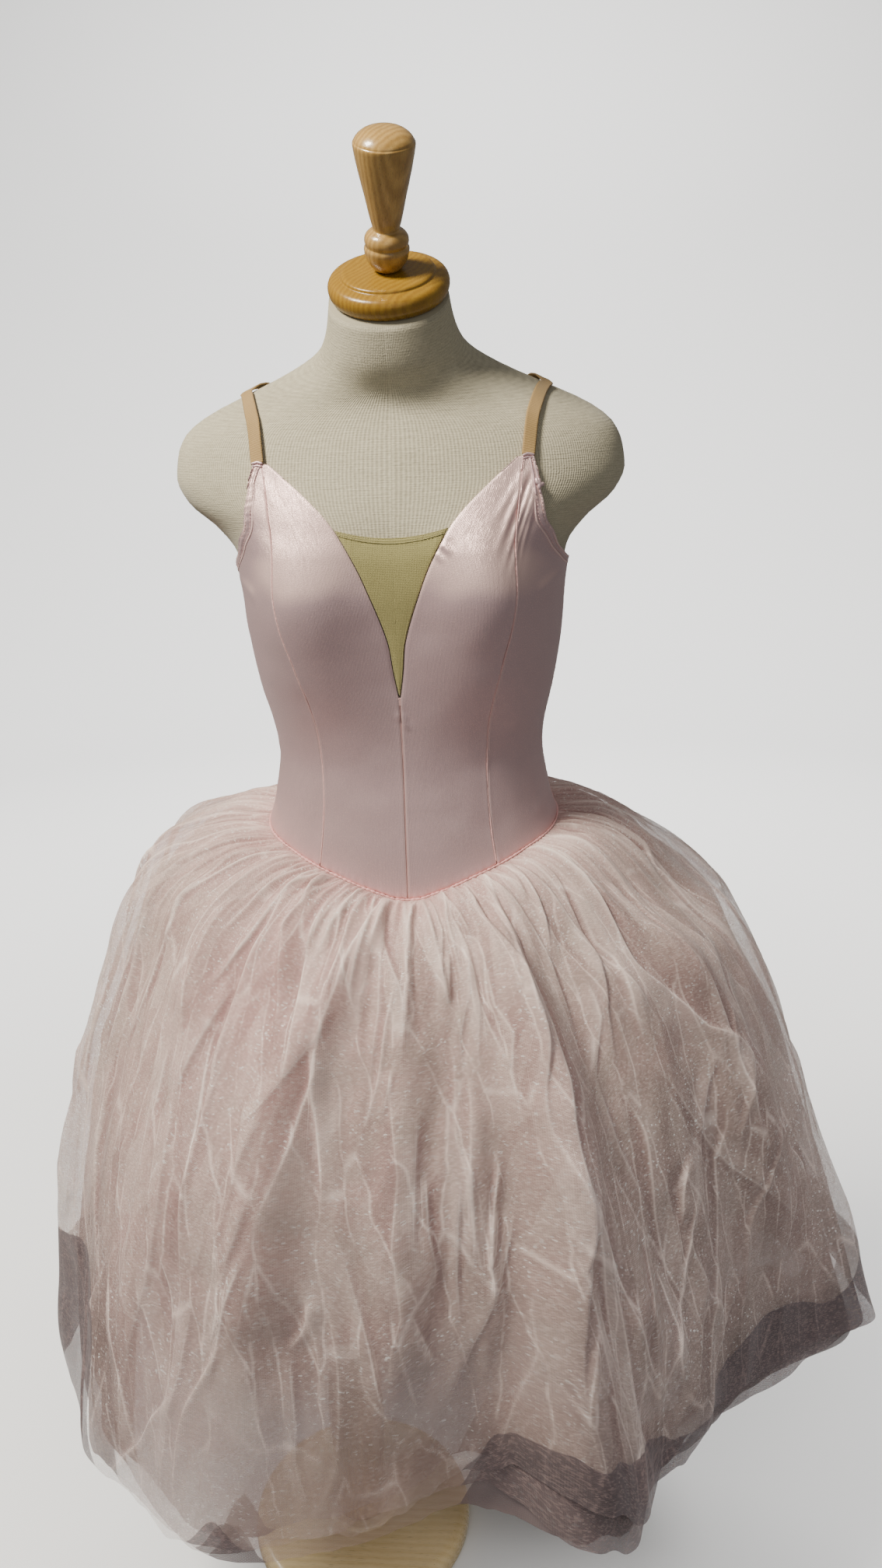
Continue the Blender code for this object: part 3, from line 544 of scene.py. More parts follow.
turnedPieces = {
    # profiles are radius, height and corner in millimetres, from the top down
    "neckBlock": {
        "node": "neck_block", "slot": "wood", "material": "capWood", "sides": 96,
        "profile": [
            (0.3, 21.7, 0), (37, 21.7, 2), (39, 20.7, 1.2), (39.5, 18.7, 1), (43, 18.2, 2),
            (47.8, 16.8, 4), (50.2, 13.5, 4), (50.9, 10, 4), (50.3, 5.5, 4), (48, 1.5, 3), (46, 0, 1),
            (0.3, 0, 0),
        ],
    },
    "turnedFinial": {
        "node": "finial", "slot": "wood", "material": "honeyWood", "sides": 96,
        "profile": [
            (0.3, 106.2, 0), (7.5, 106.2, 5), (15, 104.6, 5), (20.3, 101.2, 3), (22.6, 98.5, 0.6),
            (23.1, 97.6, 0.3), (23.3, 96.8, 0.3), (24.2, 96, 0.8), (24.3, 94, 2), (22.9, 85.2, 7),
            (20, 71.2, 8), (16.5, 56.7, 8), (13.5, 42, 8), (10.6, 31.2, 1.2), (15, 29.2, 2),
            (17.6, 26.2, 2), (18.3, 22.5, 2), (17.2, 19, 0.6), (18.6, 16.8, 1.2), (18.4, 13.5, 3),
            (17, 8, 3), (14.2, 3.5, 2.2), (11.2, 0, 1), (0.3, 0, 0),
        ],
    },
    "turnedBase": {
        "node": "base", "slot": "wood", "material": "blondWood", "sides": 128,
        "profile": [
            (0.3, 34, 0), (40, 34, 2), (43, 30, 1.5), (120, 30, 4), (127, 27, 4), (130, 20, 5),
            (130, 8, 3), (127, 2, 2), (122, 0, 1), (0.3, 0, 0),
        ],
    },
    "turnedPole": {
        "node": "pole", "slot": "wood", "material": "honeyWood", "sides": 96,
        "profile": [
            (0.3, 407, 0), (18.5, 407, 1), (20.2, 401, 3), (21.2, 350, 25), (25.5, 280, 30),
            (31, 215, 20), (32.5, 175, 20), (31.2, 125, 20), (27.2, 85, 7), (26.5, 70, 3), (31, 60, 4),
            (32.5, 48, 6), (31, 34.3, 1), (0.3, 34.3, 0),
        ],
    },
    "poleCollar": {
        "node": "pole_collar", "slot": "dark_wood", "material": "russetWood", "sides": 96,
        "profile": [
            (0.3, 465, 0), (21, 465, 1), (25.5, 461, 3), (26.6, 451, 4), (24.8, 439, 5), (26.2, 425, 6),
            (25, 412.3, 3), (21.5, 407.3, 1), (0.3, 407.3, 0),
        ],
    },
    "poleRod": {
        "node": "pole_rod", "slot": "rod_metal", "material": "steel", "sides": 64,
        "profile": [
            (0.3, 599.7, 0), (14, 599.7, 0.4), (14, 477, 0.4), (18, 475, 0.8), (18, 465.3, 0.8),
            (0.3, 465.3, 0),
        ],
    },
}


def capPlace(rise):
    # a point on the neck block's own axis, this far above the neck
    x, y, z = cap["centre"]
    return (x, y - rise * math.sin(cap["tilt"]), z + rise * math.cos(cap["tilt"]))


def roundedProfile(rows, steps=6):
    # Straight runs through the rows; each corner is a quadratic Bezier that starts and ends the
    # row's third number away from it, or half way to the next row where that is nearer.
    points = [np.array([rows[0][:2]])]
    t = np.linspace(0, 1, steps)[:, None]
    for before, here, after in zip(rows, rows[1:], rows[2:]):
        back, corner, ahead = (np.array(row[:2]) for row in (before, here, after))
        start = corner + (back - corner) * min(0.5, here[2] / np.linalg.norm(back - corner))
        end = corner + (ahead - corner) * min(0.5, here[2] / np.linalg.norm(ahead - corner))
        points.append((1 - t) ** 2 * start + 2 * t * (1 - t) * corner + t**2 * end)
    points.append(np.array([rows[-1][:2]]))
    points = np.concatenate(points)
    apart = np.linalg.norm(np.diff(points, axis=0), axis=1) > 1e-5
    return points[np.concatenate([[True], apart])]


def turnedPiece(name, material, place=(0, 0, 0), tilt=0.0, lean=0.0):
    # Each (radius, height) of the profile goes round the axis as a ring; then the whole is tilted.
    own = turnedPieces[name]
    profile = roundedProfile(0.001 * np.array(own["profile"], float))
    turn = np.linspace(0, 2 * math.pi, own["sides"], endpoint=False)
    radius, height = profile[:, 0][:, None], profile[:, 1][:, None]
    grain = np.stack(np.broadcast_arrays(radius * np.cos(turn), radius * np.sin(turn), height), -1)
    matrix = np.array(Euler((tilt, lean, 0)).to_matrix())
    points = grain @ matrix.T + np.array(place)
    piece = gridPiece(name, points, material, ring=True, flip=True, caps=True, marks={"grain": grain})
    finishPiece(piece, own["slot"], own["node"])


def woodMaterial(name):
    # Yearly rings: distances across the plank, bent by noise drawn out along the grain, read as
    # waves; over them short dark pores and a slow change of tone.
    own = woods[name]
    tree, shader, material = newMaterial(name, {
        "Coat Weight": own["coat"], "Coat Roughness": 0.05, "Specular IOR Level": 0.45})
    place = stretched(markOf(tree, "grain", "Vector"), turn=own["turn"])
    bent = noiseOf(stretched(place, (9, 9, 1.6)), 1.0) * 0.045
    spread = Signal(tree, addNode(tree, "ShaderNodeCombineXYZ", {0: bent}).outputs[0])
    rings = wavesOf(place.vectorMaths("ADD", spread), own["rings"], 1.5, "X", 2.0)
    streak = noiseOf(stretched(place, (420, 420, 14)), 1.0, 3.0)
    pores = noiseOf(stretched(place, (1500, 1500, 90)), 1.0, 1.0)
    tone = rings * 0.38 + streak * 0.55 + noiseOf(place, 14.0) * 0.35
    colour = tone.remap(0.30, 0.95).mix(own["light"], own["dark"])
    colour = pores.remap(0.62, 0.72, 0.0, 0.55).mix(colour, darker(own["dark"], 0.55))
    feed(shader, "Base Color", colour)
    feed(shader, "Roughness", streak.remap(0.2, 0.8, 0.20, 0.36))
    bumpTo(shader, streak, 0.00008)
    return material


def steelMaterial():
    # Brushed steel: noise drawn out round the rod sets both its tone and how rough it is.
    tree, shader, material = newMaterial("steel", {"Metallic": 1.0})
    scratch = noiseOf(stretched(markOf(tree, "grain", "Vector"), (60, 60, 900)), 1.0)
    feed(shader, "Base Color", scratch.mix((0.20, 0.20, 0.205), (0.36, 0.36, 0.37)))
    feed(shader, "Roughness", scratch.remap(0.2, 0.8, 0.25, 0.5))
    return material


def makeStand():
    # The block and the finial share the neck's tilt; the rest stands on the floor's centre.
    materials = {name: woodMaterial(name) for name in woods}
    materials["steel"] = steelMaterial()
    foot = cap["height"] + 3 * cap["gap"] + cap["finialFoot"] * math.sin(cap["lean"])
    tilts = {"neckBlock": (capPlace(2 * cap["gap"]), cap["tilt"]),
             "turnedFinial": (capPlace(foot), cap["tilt"], cap["lean"])}
    for name, own in turnedPieces.items():
        turnedPiece(name, materials[own["material"]], *tilts.get(name, ()))


# the bodice
bodice = {
    "lift": 0.0034,                     # its outer face above the form
    "wall": 0.0010,
    "bottom": 0.8785, "vBottom": 1.064, "top": 1.263,
    "armpit": 0.58,                     # share of the rows up to the armpit
    "rowShares": 14,                    # fine rows for each of the panel's own rows
    "flatCentre": ((0.118, 0.392), 0.0285),     # flat size and area of each panel
    "flatSide": ((0.112, 0.345), 0.0250),
    "flatBack": ((0.455, 0.245), 0.092),
    "uneven": 0.0004, "unevenOver": (6.2832, 0.5),      # how far it strays from that lift
    "inner": 34,                        # columns between the two edge bands of a panel
    "bandColumns": 9, "bandWidth": 0.0075,
    "turnedEdge": 0.0056,               # width of the turned and stitched armhole edge
    "stitchLines": (0.0016, 0.0048),    # from that edge
    "around": 0.130,                    # metres of cloth for each radian
    # pale is also the colour of the painted highlight and of the painted glints
    "colour": (0.650, 0.462, 0.475), "pale": (0.900, 0.640, 0.590), "deep": (0.520, 0.365, 0.400),
    "facingUp": 0.19,                   # how far up a surface faces where its painted highlight is in full
    "paintedHighlightFrom": 1.085, "paintedHighlightShare": 0.15,    # height above which the painted highlight is in full, and its share below
    "metal": 0.50,                      # share of its light that comes back as a satin sheen
    "blush": (0.860, 0.400, 0.385), "blushReach": 0.0045,
    "princessSeam": [
        # height, from the centre
        (0.906, 0.0800), (0.935, 0.0760), (0.972, 0.0730), (1.000, 0.0725), (1.030, 0.0725),
        (1.063, 0.0755), (1.101, 0.0835), (1.135, 0.0935), (1.162, 0.0990), (1.195, 0.1005),
        (1.222, 0.1040), (1.263, 0.1095),
    ],
    "neckline": [
        # height, from the centre
        (1.064, 0.0004), (1.090, 0.0045), (1.111, 0.0070), (1.121, 0.0095), (1.160, 0.0235),
        (1.178, 0.0310), (1.202, 0.0440), (1.212, 0.0505), (1.263, 0.1040),
    ],
    "basqueSeam": [
        # degrees from the centre front, height
        (0, 0.8785), (3, 0.8792), (7, 0.8830), (13, 0.8885), (22, 0.8970), (36, 0.9075),
        (50, 0.9165), (70, 0.9235), (90, 0.9290), (135, 0.9350), (180, 0.9370),
    ],
    "armhole": [
        # degrees, height
        (33.5, 1.2630), (36.5, 1.2380), (44.0, 1.2160), (54.0, 1.2020), (66.0, 1.1870),
        (78.0, 1.1770), (90.0, 1.1730),
    ],
    "backTop": [
        # degrees, height
        (90, 1.1730), (110, 1.1670), (135, 1.1500), (160, 1.1380), (180, 1.1350),
    ],
    "creases": [
        # from: degrees, height; to: degrees, height; width, rise, sideways bow
        (33.0, 1.2560, 30.6, 1.1760, 0.0030, 0.0015, 0.000),
        (34.2, 1.2480, 33.8, 1.1640, 0.0024, 0.0018, 0.000),
        (35.0, 1.2430, 37.2, 1.1620, 0.0026, 0.0020, 0.000),
        (35.9, 1.2390, 41.4, 1.1680, 0.0028, 0.0014, 0.000),
        (31.6, 1.2540, 26.4, 1.2060, 0.0034, 0.0010, 0.001),
        (-31.4, 1.2540, -28.6, 1.1980, 0.0042, 0.0009, 0.000),
        (13.5, 1.1960, 17.5, 1.1850, 0.0028, 0.0022, 0.001),
        (12.0, 1.1900, 15.5, 1.1800, 0.0022, 0.0014, 0.000),
        (-1.8, 1.0500, 2.6, 1.0420, 0.0030, 0.0014, 0.001),
        (0.4, 1.0440, 3.4, 1.0360, 0.0026, 0.0016, -0.001),
        (-62.0, 0.9420, -84.0, 0.9700, 0.0060, 0.0011, 0.004),
        (58.0, 0.9400, 86.0, 0.9780, 0.0060, 0.0013, -0.004),
        (50.0, 1.1500, 84.0, 1.1660, 0.0065, 0.0014, 0.003),
        (-52.0, 1.1520, -83.0, 1.1650, 0.0060, 0.0011, -0.003),
        (66.0, 1.0150, 95.0, 1.0060, 0.0070, 0.0010, 0.003),
        (-70.0, 1.0100, -97.0, 1.0050, 0.0070, 0.0010, 0.003),
        (104.0, 1.0120, 140.0, 1.0010, 0.0065, 0.0014, 0.004),
        (112.0, 0.9880, 152.0, 0.9800, 0.0070, 0.0012, -0.003),
        (-108.0, 1.0160, -138.0, 0.9980, 0.0065, 0.0013, 0.003),
        (-118.0, 0.9800, -156.0, 0.9860, 0.0070, 0.0011, 0.004),
        (138.0, 1.1440, 131.0, 1.1040, 0.0034, 0.0016, 0.001),
        (-140.0, 1.1440, -134.0, 1.1080, 0.0034, 0.0015, -0.001),
        (146.0, 1.1400, 150.0, 1.1080, 0.0030, 0.0014, 0.000),
        (-147.0, 1.1400, -150.0, 1.1030, 0.0032, 0.0015, 0.001),
    ],
}
panelHeight = bodice["top"] - bodice["bottom"]
centreCorner = (bodice["vBottom"] - bodice["bottom"]) / panelHeight
panelRows = [
    0, 0.12, 0.24, 0.36, centreCorner, bodice["armpit"], 0.66, 0.73, 0.80, 0.858, 0.90, 0.95, 1,
]
insertRow = 9                           # the panel row that the insert's top edge lies on


def basqueHeight(angle):
    # height of the seam between bodice and skirt, the same on both sides
    degrees = np.abs(np.degrees(np.arctan2(np.sin(angle), np.cos(angle))))
    return smoothColumn(degrees, bodice["basqueSeam"], 1)


def fineRows(shares):
    # Even steps between the given shares, with closer ones just above the first.
    count = bodice["rowShares"] * (len(shares) - 1)
    even = np.interp(np.linspace(0, len(shares) - 1, count + 1), np.arange(len(shares)), shares)
    near = np.array([0.0007, 0.0016, 0.0028, 0.0044, 0.0062]) / panelHeight
    return np.unique(np.concatenate([even, near]))


def frontEdges(rows):
    # The three upright edges of the front, row by row, as angle and height: centre front with
    # neckline, princess seam, side seam with armhole.
    height = bodice["bottom"] + panelHeight * rows
    across = np.where(rows > centreCorner + 1e-6, smoothColumn(height, bodice["neckline"], 1), 0)
    centre = np.stack([angleAt(across, height), height], -1)

    bottom = bodice["princessSeam"][0][0]
    height = bottom + (bodice["top"] - bottom) * rows
    across = smoothColumn(height, bodice["princessSeam"], 1)
    princess = np.stack([angleAt(across, height), height], -1)

    armpit = bodice["armpit"]
    lower = rows <= armpit + 1e-6
    low, high = bodice["basqueSeam"][8][1], bodice["armhole"][-1][1]
    up = np.clip((rows - armpit) / (1 - armpit), 0, 1)
    degrees = 90 + (bodice["armhole"][0][0] - 90) * np.sin(up * math.pi / 2)
    degrees = np.where(lower, 90, degrees)
    upper = smoothColumn(degrees, bodice["armhole"], 1)
    height = np.where(lower, low + (high - low) * rows / armpit, upper)
    side = np.stack([np.radians(degrees), height], -1)
    return centre, princess, side


def bandShares(width):
    # Places of the columns across each row as shares of its width: close together within a band
    # along both edges, even between.
    band = np.minimum(bodice["bandWidth"], 0.35 * width)[:, None]
    near = band * np.linspace(0, 1, bodice["bandColumns"]) ** 1.3
    width = width[:, None]
    middle = band + (width - 2 * band) * np.linspace(0, 1, bodice["inner"] + 2)[1:-1]
    return np.concatenate([near, middle, width - near[:, ::-1]], 1) / width


def panelGrid(left, right, rows):
    # Angle and height across a panel between its two edges. The bottom row is moved onto the
    # basque seam, and the move fades out upwards; both sides are trimmed by half the seam gap.
    ends = [onForm(edge[:, 0], edge[:, 1], 0.0) for edge in (left, right)]
    apart = np.linalg.norm(ends[0] - ends[1], axis=-1)
    share = bandShares(apart)[..., None]
    grid = left[:, None] * (1 - share) + right[:, None] * share
    wanted = basqueHeight(grid[0, :, 0]) + seamGap * 2.2
    grid[..., 1] += (1 - rows)[:, None] ** 2 * (wanted - grid[0, :, 1])
    radius = smoothColumn(grid[..., 1], form["sections"], 2)
    grid[:, 0, 0] += seamGap / 2 / radius[:, 0]
    grid[:, -1, 0] -= seamGap / 2 / radius[:, -1]
    return grid


def edgeDistances(points):
    # Metres of cloth to the left, right, bottom and top edges of a grid of points.
    across = np.linalg.norm(np.diff(points, axis=1), axis=-1)
    along = np.linalg.norm(np.diff(points, axis=0), axis=-1)
    left = np.concatenate([np.zeros((len(points), 1)), np.cumsum(across, 1)], 1)
    bottom = np.concatenate([np.zeros((1, points.shape[1])), np.cumsum(along, 0)], 0)
    return left, left[:, -1:] - left, bottom, bottom[-1:] - bottom


def seamLift(away):
    # Cloth swells a little over a seam's allowance and sinks into the seam itself.
    return 0.00035 * bell(away, 0.0034) - 0.0006 * bell(away, 0.0007)


def turnedLift(away, along):
    # A turned edge stands proud up to its width, is pulled in along its two rows of stitches, and
    # puckers slightly every 6 mm or so.
    width = bodice["turnedEdge"]
    proud = 0.0009 * (1 - ease((away - width) / 0.0008))
    rows = sum(bell(away - line, 0.0005) for line in bodice["stitchLines"])
    pucker = np.sin(along * 1000) + 0.6 * np.sin(along * 610 + 1.3)
    return proud - 0.0005 * rows + 0.00010 * pucker * bell(away - 0.4 * width, 1.1 * width)


def gatherLift(angle, away):
    # small gathers held by the basque seam, dying away within a centimetre
    phase = 118 * angle + 3.0 * np.sin(7 * angle + 0.7) + 2.0 * np.sin(17 * angle)
    return (0.00045 * np.sin(phase) + 0.0005) * bell(away, 0.0062) - 0.0008 * bell(away, 0.0012)


def creaseLift(points, normals, creases):
    # Each crease is a ridge along a line between two points on the form. It bows to one side,
    # and rises and dies away along it.
    total = np.zeros(points.shape[:2])
    for a, b, c, d, width, rise, bow in creases:
        start = onForm(math.radians(a), b, bodice["lift"])
        run = onForm(math.radians(c), d, bodice["lift"]) - start
        share = np.clip((points - start) @ run / (run @ run), 0, 1)
        side = np.cross(normals, run)
        side /= np.linalg.norm(side, axis=-1, keepdims=True)
        line = start + share[..., None] * run + (bow * 4 * share * (1 - share))[..., None] * side
        away = np.linalg.norm(points - line, axis=-1)
        reach = ease(share / 0.18) * ease((1 - share) / 0.55)
        total += rise * reach * (bell(away, width) - 0.35 * bell(away, 2.6 * width))
    return total


def satinMaterial():
    # Pale pink stretch satin: fine upright knit, soft changes of tone and small glints painted as
    # pale specks. A painted highlight makes it palest where it faces up; it is pale along its seams,
    # and rosy just above the basque seam.
    tree, shader, material = newMaterial("stretchSatin", {
        "Metallic": bodice["metal"], "Specular IOR Level": 0.5, "Sheen Weight": 0.12,
        "Sheen Roughness": 0.4, "Sheen Tint": (1.0, 0.86, 0.86, 1.0)})
    uv = placeOf(tree)
    thread = noiseOf(stretched(uv, (2600, 160, 1)), 1.0)
    ribs = wavesOf(uv, 420.0, 0.6)
    glint = noiseOf(uv, 900.0, 1.0)
    tone = noiseOf(uv, 16.0, 3.0) * 0.55 + thread * 0.45
    body = tone.remap(0.3, 0.7, 0.0, 0.28).mix(bodice["colour"], bodice["deep"])
    # paler for the painted glints, then for the painted highlight where it faces up, and along the seams
    for paler in (glint.remap(0.56, 0.74, 0.0, 0.5), markOf(tree, "paintedHighlight") * 0.80,
                  markOf(tree, "seam").remap(0.0, 1.0, 0.0, 0.45)):
        body = paler.mix(body, bodice["pale"])
    feed(shader, "Base Color", markOf(tree, "blush").mix(body, bodice["blush"]))
    feed(shader, "Roughness", (tone + glint * -0.3).remap(0.1, 0.6, 0.34, 0.48))
    bumpTo(shader, ribs * 0.5 + thread + glint * 0.8, 0.00016)
    return material


def addPanel(name, node, grid, sides, topTurned, flat, area, material):
    # A bodice panel: the grid on the form, lifted by what its edges and creases do. Its left and
    # right sides are each sewn up to a row, and plain or turned above it.
    base = onForm(grid[..., 0], grid[..., 1], bodice["lift"])
    left, right, bottom, top = edgeDistances(base)
    lift = np.full(grid.shape[:2], bodice["lift"])
    seam = bell(bottom, 0.0012)
    row = np.arange(len(grid))[:, None]
    for away, (sewnRow, finish) in zip((left, right), sides):
        above = ease(0.5 + (row - sewnRow) / 8)
        edge = turnedLift(away, bottom) if finish == "turned" else -0.0006 * bell(away, 0.0014)
        lift = lift + (1 - above) * seamLift(away) + above * edge
        seam = np.maximum(seam, (1 - above) * bell(away, 0.0013))
    if topTurned:
        lift = lift + turnedLift(top, left)
    lift = lift + gatherLift(grid[..., 0], bottom)
    lift = lift + creaseLift(base, formNormal(grid[..., 0], grid[..., 1]), bodice["creases"])
    places = grid / bodice["unevenOver"]
    lift = lift + bodice["uneven"] * softNoise(places[..., 0], places[..., 1], 40, 24, 5)
    lift = np.maximum(lift, clearance - 0.0006)
    points = onForm(grid[..., 0], grid[..., 1], lift)

    uv = np.stack([grid[..., 0] * bodice["around"], grid[..., 1]], -1)
    # painted highlight: paler where the cloth faces up, in full on the bust and by a share lower down
    normal = np.cross(np.gradient(points, axis=1), np.gradient(points, axis=0))
    paintedHighlight = np.clip(normal[..., 2] / np.linalg.norm(normal, axis=-1) / bodice["facingUp"], 0, 1)
    high = ease((grid[..., 1] - bodice["paintedHighlightFrom"]) / 0.05)
    paintedHighlight = paintedHighlight * (bodice["paintedHighlightShare"] + (1 - bodice["paintedHighlightShare"]) * high)
    blush = 0.55 * np.exp(-bottom / bodice["blushReach"])
    panel = gridPiece(name, points, material, uv, marks={"seam": seam, "blush": blush, "paintedHighlight": paintedHighlight})
    thicken(panel, bodice["wall"])
    finishPiece(panel, "satin", node)


def mirrored(grid):
    # the same piece on the other half of the body, with its columns in reverse
    flipped = grid[:, ::-1].copy()
    flipped[..., 0] *= -1
    return flipped


def makeBodice():
    material = satinMaterial()
    rows = fineRows(panelRows)
    centre, princess, side = frontEdges(rows)
    corner = int(np.argmin(np.abs(rows - centreCorner)))
    armpit = int(np.argmin(np.abs(rows - bodice["armpit"])))
    sewn = (2 * len(rows), "plain")         # a side that is sewn all the way up
    fronts = [
        ("CentreFront", "centre_front", panelGrid(centre, princess, rows),
         ((corner, "plain"), sewn), bodice["flatCentre"]),
        ("SideFront", "side_front", panelGrid(princess, side, rows),
         (sewn, (armpit, "turned")), bodice["flatSide"]),
    ]
    for piece, node, grid, sides, flat in fronts:
        addPanel(f"bodice{piece}Left", f"bodice_{node}_left", grid, sides, False, *flat, material)
        addPanel(f"bodice{piece}Right", f"bodice_{node}_right", mirrored(grid), sides[::-1], False,
                 *flat, material)

    # The back, from side seam to side seam: finer rows near its turned top edge, and finer
    # columns near its sides.
    up = fineRows([row / bodice["armpit"] for row in panelRows if row <= bodice["armpit"]])
    nearTop = 1 - np.array([0.0010, 0.0018, 0.0026, 0.0036, 0.0044, 0.0052, 0.0060, 0.0068]) / 0.22
    up = np.unique(np.concatenate([up, nearTop]))
    nearSide = 3.4 * np.linspace(0, 1, 8)[:-1] ** 1.3
    degrees = np.concatenate([90 + nearSide, np.linspace(93.4, 266.6, 122), 270 - nearSide[::-1]])
    angles = np.radians(degrees)
    low = basqueHeight(angles) + seamGap * 2.2
    high = smoothColumn(np.minimum(degrees, 360 - degrees), bodice["backTop"], 1)
    heights = low[None, :] + (high - low)[None, :] * up[:, None]
    grid = np.stack([np.broadcast_to(angles, heights.shape).copy(), heights], -1)
    radius = smoothColumn(heights, form["sections"], 3)
    grid[:, 0, 0] += seamGap / 2 / radius[:, 0]
    grid[:, -1, 0] -= seamGap / 2 / radius[:, -1]
    addPanel("bodiceBack", "bodice_back", grid, (sewn, sewn), True, *bodice["flatBack"], material)
    makeSeams(centre, princess, side, corner, armpit)


def alongForm(degrees, heights, count, lift):
    # An even path over the form through given places, with its normals.
    angle, height = np.radians(np.asarray(degrees, float)), np.asarray(heights, float)
    steps = np.linalg.norm(np.diff(onForm(angle, height, lift), axis=0), axis=-1)
    reach = np.concatenate([[0], np.cumsum(steps)])
    even = np.linspace(0, reach[-1], count)
    angle, height = np.interp(even, reach, angle), np.interp(even, reach, height)
    return onForm(angle, height, lift), formNormal(angle, height)


def stitchRow(degrees, heights, lift, length=0.0021, pitch=0.0029, thick=0.00030):
    # Short bulging threads, one after another along the path: four rings each.
    centres, normals = alongForm(degrees, heights, 900, lift)
    reach = np.concatenate([[0], np.cumsum(np.linalg.norm(np.diff(centres, axis=0), axis=-1))])
    middle = (np.arange(int(reach[-1] / pitch)) + 0.5) * pitch
    at = middle[:, None] + length * np.array([-0.5, -0.25, 0.25, 0.5])[None, :]
    place, normal = (np.stack([np.interp(at, reach, values[:, axis]) for axis in range(3)], -1)
                     for values in (centres, normals))
    place -= normal * thick * np.array([1.2, 0.2, 0.2, 1.2])[None, :, None]
    radius = np.broadcast_to(thick * np.array([0.5, 1.0, 1.0, 0.5]), at.shape)
    return list(zip(place, normal, radius))


def threadMaterial(name, colour):
    # twisted thread: fine noise between a darker tone and the colour, raised by the same noise
    tree, shader, material = newMaterial(name, {"Roughness": 0.55, "Sheen Weight": 0.2})
    twist = noiseOf(placeOf(tree, "Object"), 900.0)
    feed(shader, "Base Color", twist.mix(darker(colour, 0.72), colour))
    bumpTo(shader, twist, 0.0001)
    return material


seams = {
    "cordRadius": 0.00055,              # raised line along a princess or side seam
    "cordPoints": 260, "bindingPoints": 300, "basquePoints": 1700,
    "rollRadii": (0.00125, 0.00095), "rollLines": (0.0009, 0.0062),     # the armhole's two rolls
    "armRadius": 0.15,                  # from the form's axis to the armhole, near enough
    "closeFrom": 1.2300,                # height above which the two rolls draw together
    "basqueRadius": 0.00105, "basqueBumps": 165,
    "hemLift": 0.0043, "hemThread": 0.00022,
    "threadColour": (0.830, 0.520, 0.500), "bindingColour": (0.900, 0.640, 0.610),
    "rollColour": (0.880, 0.470, 0.450),
}


def wobbling(count, *waves):
    # 1 at each of so many points, with a sine of the point's number added for each wave
    return 1 + sum(share * np.sin(step * np.arange(count)) for step, share in waves)


def makeSeams(centre, princess, side, corner, armpit):
    # Raised threads of the overlocked seams, the gathered roll of the basque seam, two rolls and
    # two rows of stitches round the armholes and along the back's top edge.
    thread = threadMaterial("pinkThread", seams["threadColour"])
    lift = bodice["lift"] - 0.0001
    points = seams["cordPoints"]
    radius = seams["cordRadius"] * wobbling(points, (1.9, 0.16), (0.73, 0.12))
    cords = [(*alongForm(sign * np.degrees(edge[:, 0]), edge[:, 1], points, lift), radius)
             for edge in (princess[3:], side[3:armpit]) for sign in (1, -1)]
    middle = alongForm(0 * centre[2:corner, 0], centre[2:corner, 1], points, lift - 0.0006)
    cords.append((*middle, np.full(points, 0.7 * seams["cordRadius"])))
    tubePiece("seamThreads", cords, 8, thread, "satin")

    points = seams["basquePoints"]
    angle = np.linspace(-180, 180, points)
    height = basqueHeight(np.radians(angle)) + 0.0005
    beat = np.abs(np.sin(np.linspace(0, math.pi * seams["basqueBumps"], points)))
    slow = softNoise(np.linspace(0, 1, points), np.zeros(points), 120, 2, 11)
    radius = seams["basqueRadius"] * (0.62 + 0.5 * beat + 0.22 * slow)
    roll = (*alongForm(angle, height, points, clearance + 0.0012), radius)
    tubePiece("basqueSeamRoll", [roll], 8, threadMaterial("rosyRoll", seams["rollColour"]), "satin")

    degrees, heights = np.degrees(side[armpit:, 0]), side[armpit:, 1]
    slope = np.gradient(heights) / np.maximum(np.abs(np.gradient(degrees)), 1e-9)
    backDegrees = np.linspace(90, 270, 400)
    backHeights = smoothColumn(np.minimum(backDegrees, 360 - backDegrees), bodice["backTop"], 1)

    def runsAt(line, closing=0.0):
        # The edges of both armholes and of the back's top, moved this far into the bodice. Near
        # the strap points the runs move back again by the second number.
        tilt = np.arctan2(slope, math.radians(1) * seams["armRadius"])
        rises = heights - line * np.cos(tilt)
        back = closing * ease((rises - seams["closeFrom"]) / 0.0300)
        places = degrees + np.degrees((back - line * np.sin(tilt)) / seams["armRadius"])
        return (places, rises), (-places, rises), (backDegrees, backHeights - line)

    points = seams["bindingPoints"]
    beat = wobbling(points, (1.3, 0.04), (0.52, 0.04))
    rolls = [(*alongForm(place, rise, points, seams["hemLift"] - 0.0012), thick * beat)
             for line, thick in zip(seams["rollLines"], seams["rollRadii"])
             for place, rise in runsAt(line, 0.5 * (line - seams["rollLines"][0]))]
    tubePiece("armholeBinding", rolls, 8, threadMaterial("pinkBinding", seams["bindingColour"]), "satin")

    stitches = []
    for line in bodice["stitchLines"]:
        for place, rise in runsAt(line):
            stitches += stitchRow(place, rise, seams["hemLift"], thick=seams["hemThread"])
    tubePiece("edgeStitches", stitches, 6, thread, "satin")
    print("bodice seams sewn:", len(stitches), "stitches")


# the net insert in the V, with its turned top edge
insert = {
    "columns": 64, "rows": 90,
    "lift": 0.0031, "wall": 0.0008,
    "dip": 0.007, "band": 0.0042,       # sag of its top edge and height of the turned band
    "stitchLines": (0.0011, 0.0033),
    "taut": 0.75,                       # share of the way from the form's hollow to a straight chord
    "colour": (0.428, 0.385, 0.150), "dark": (0.298, 0.258, 0.094), "thread": (0.520, 0.440, 0.240),
    "flat": ((0.104, 0.152), 0.0068),
}


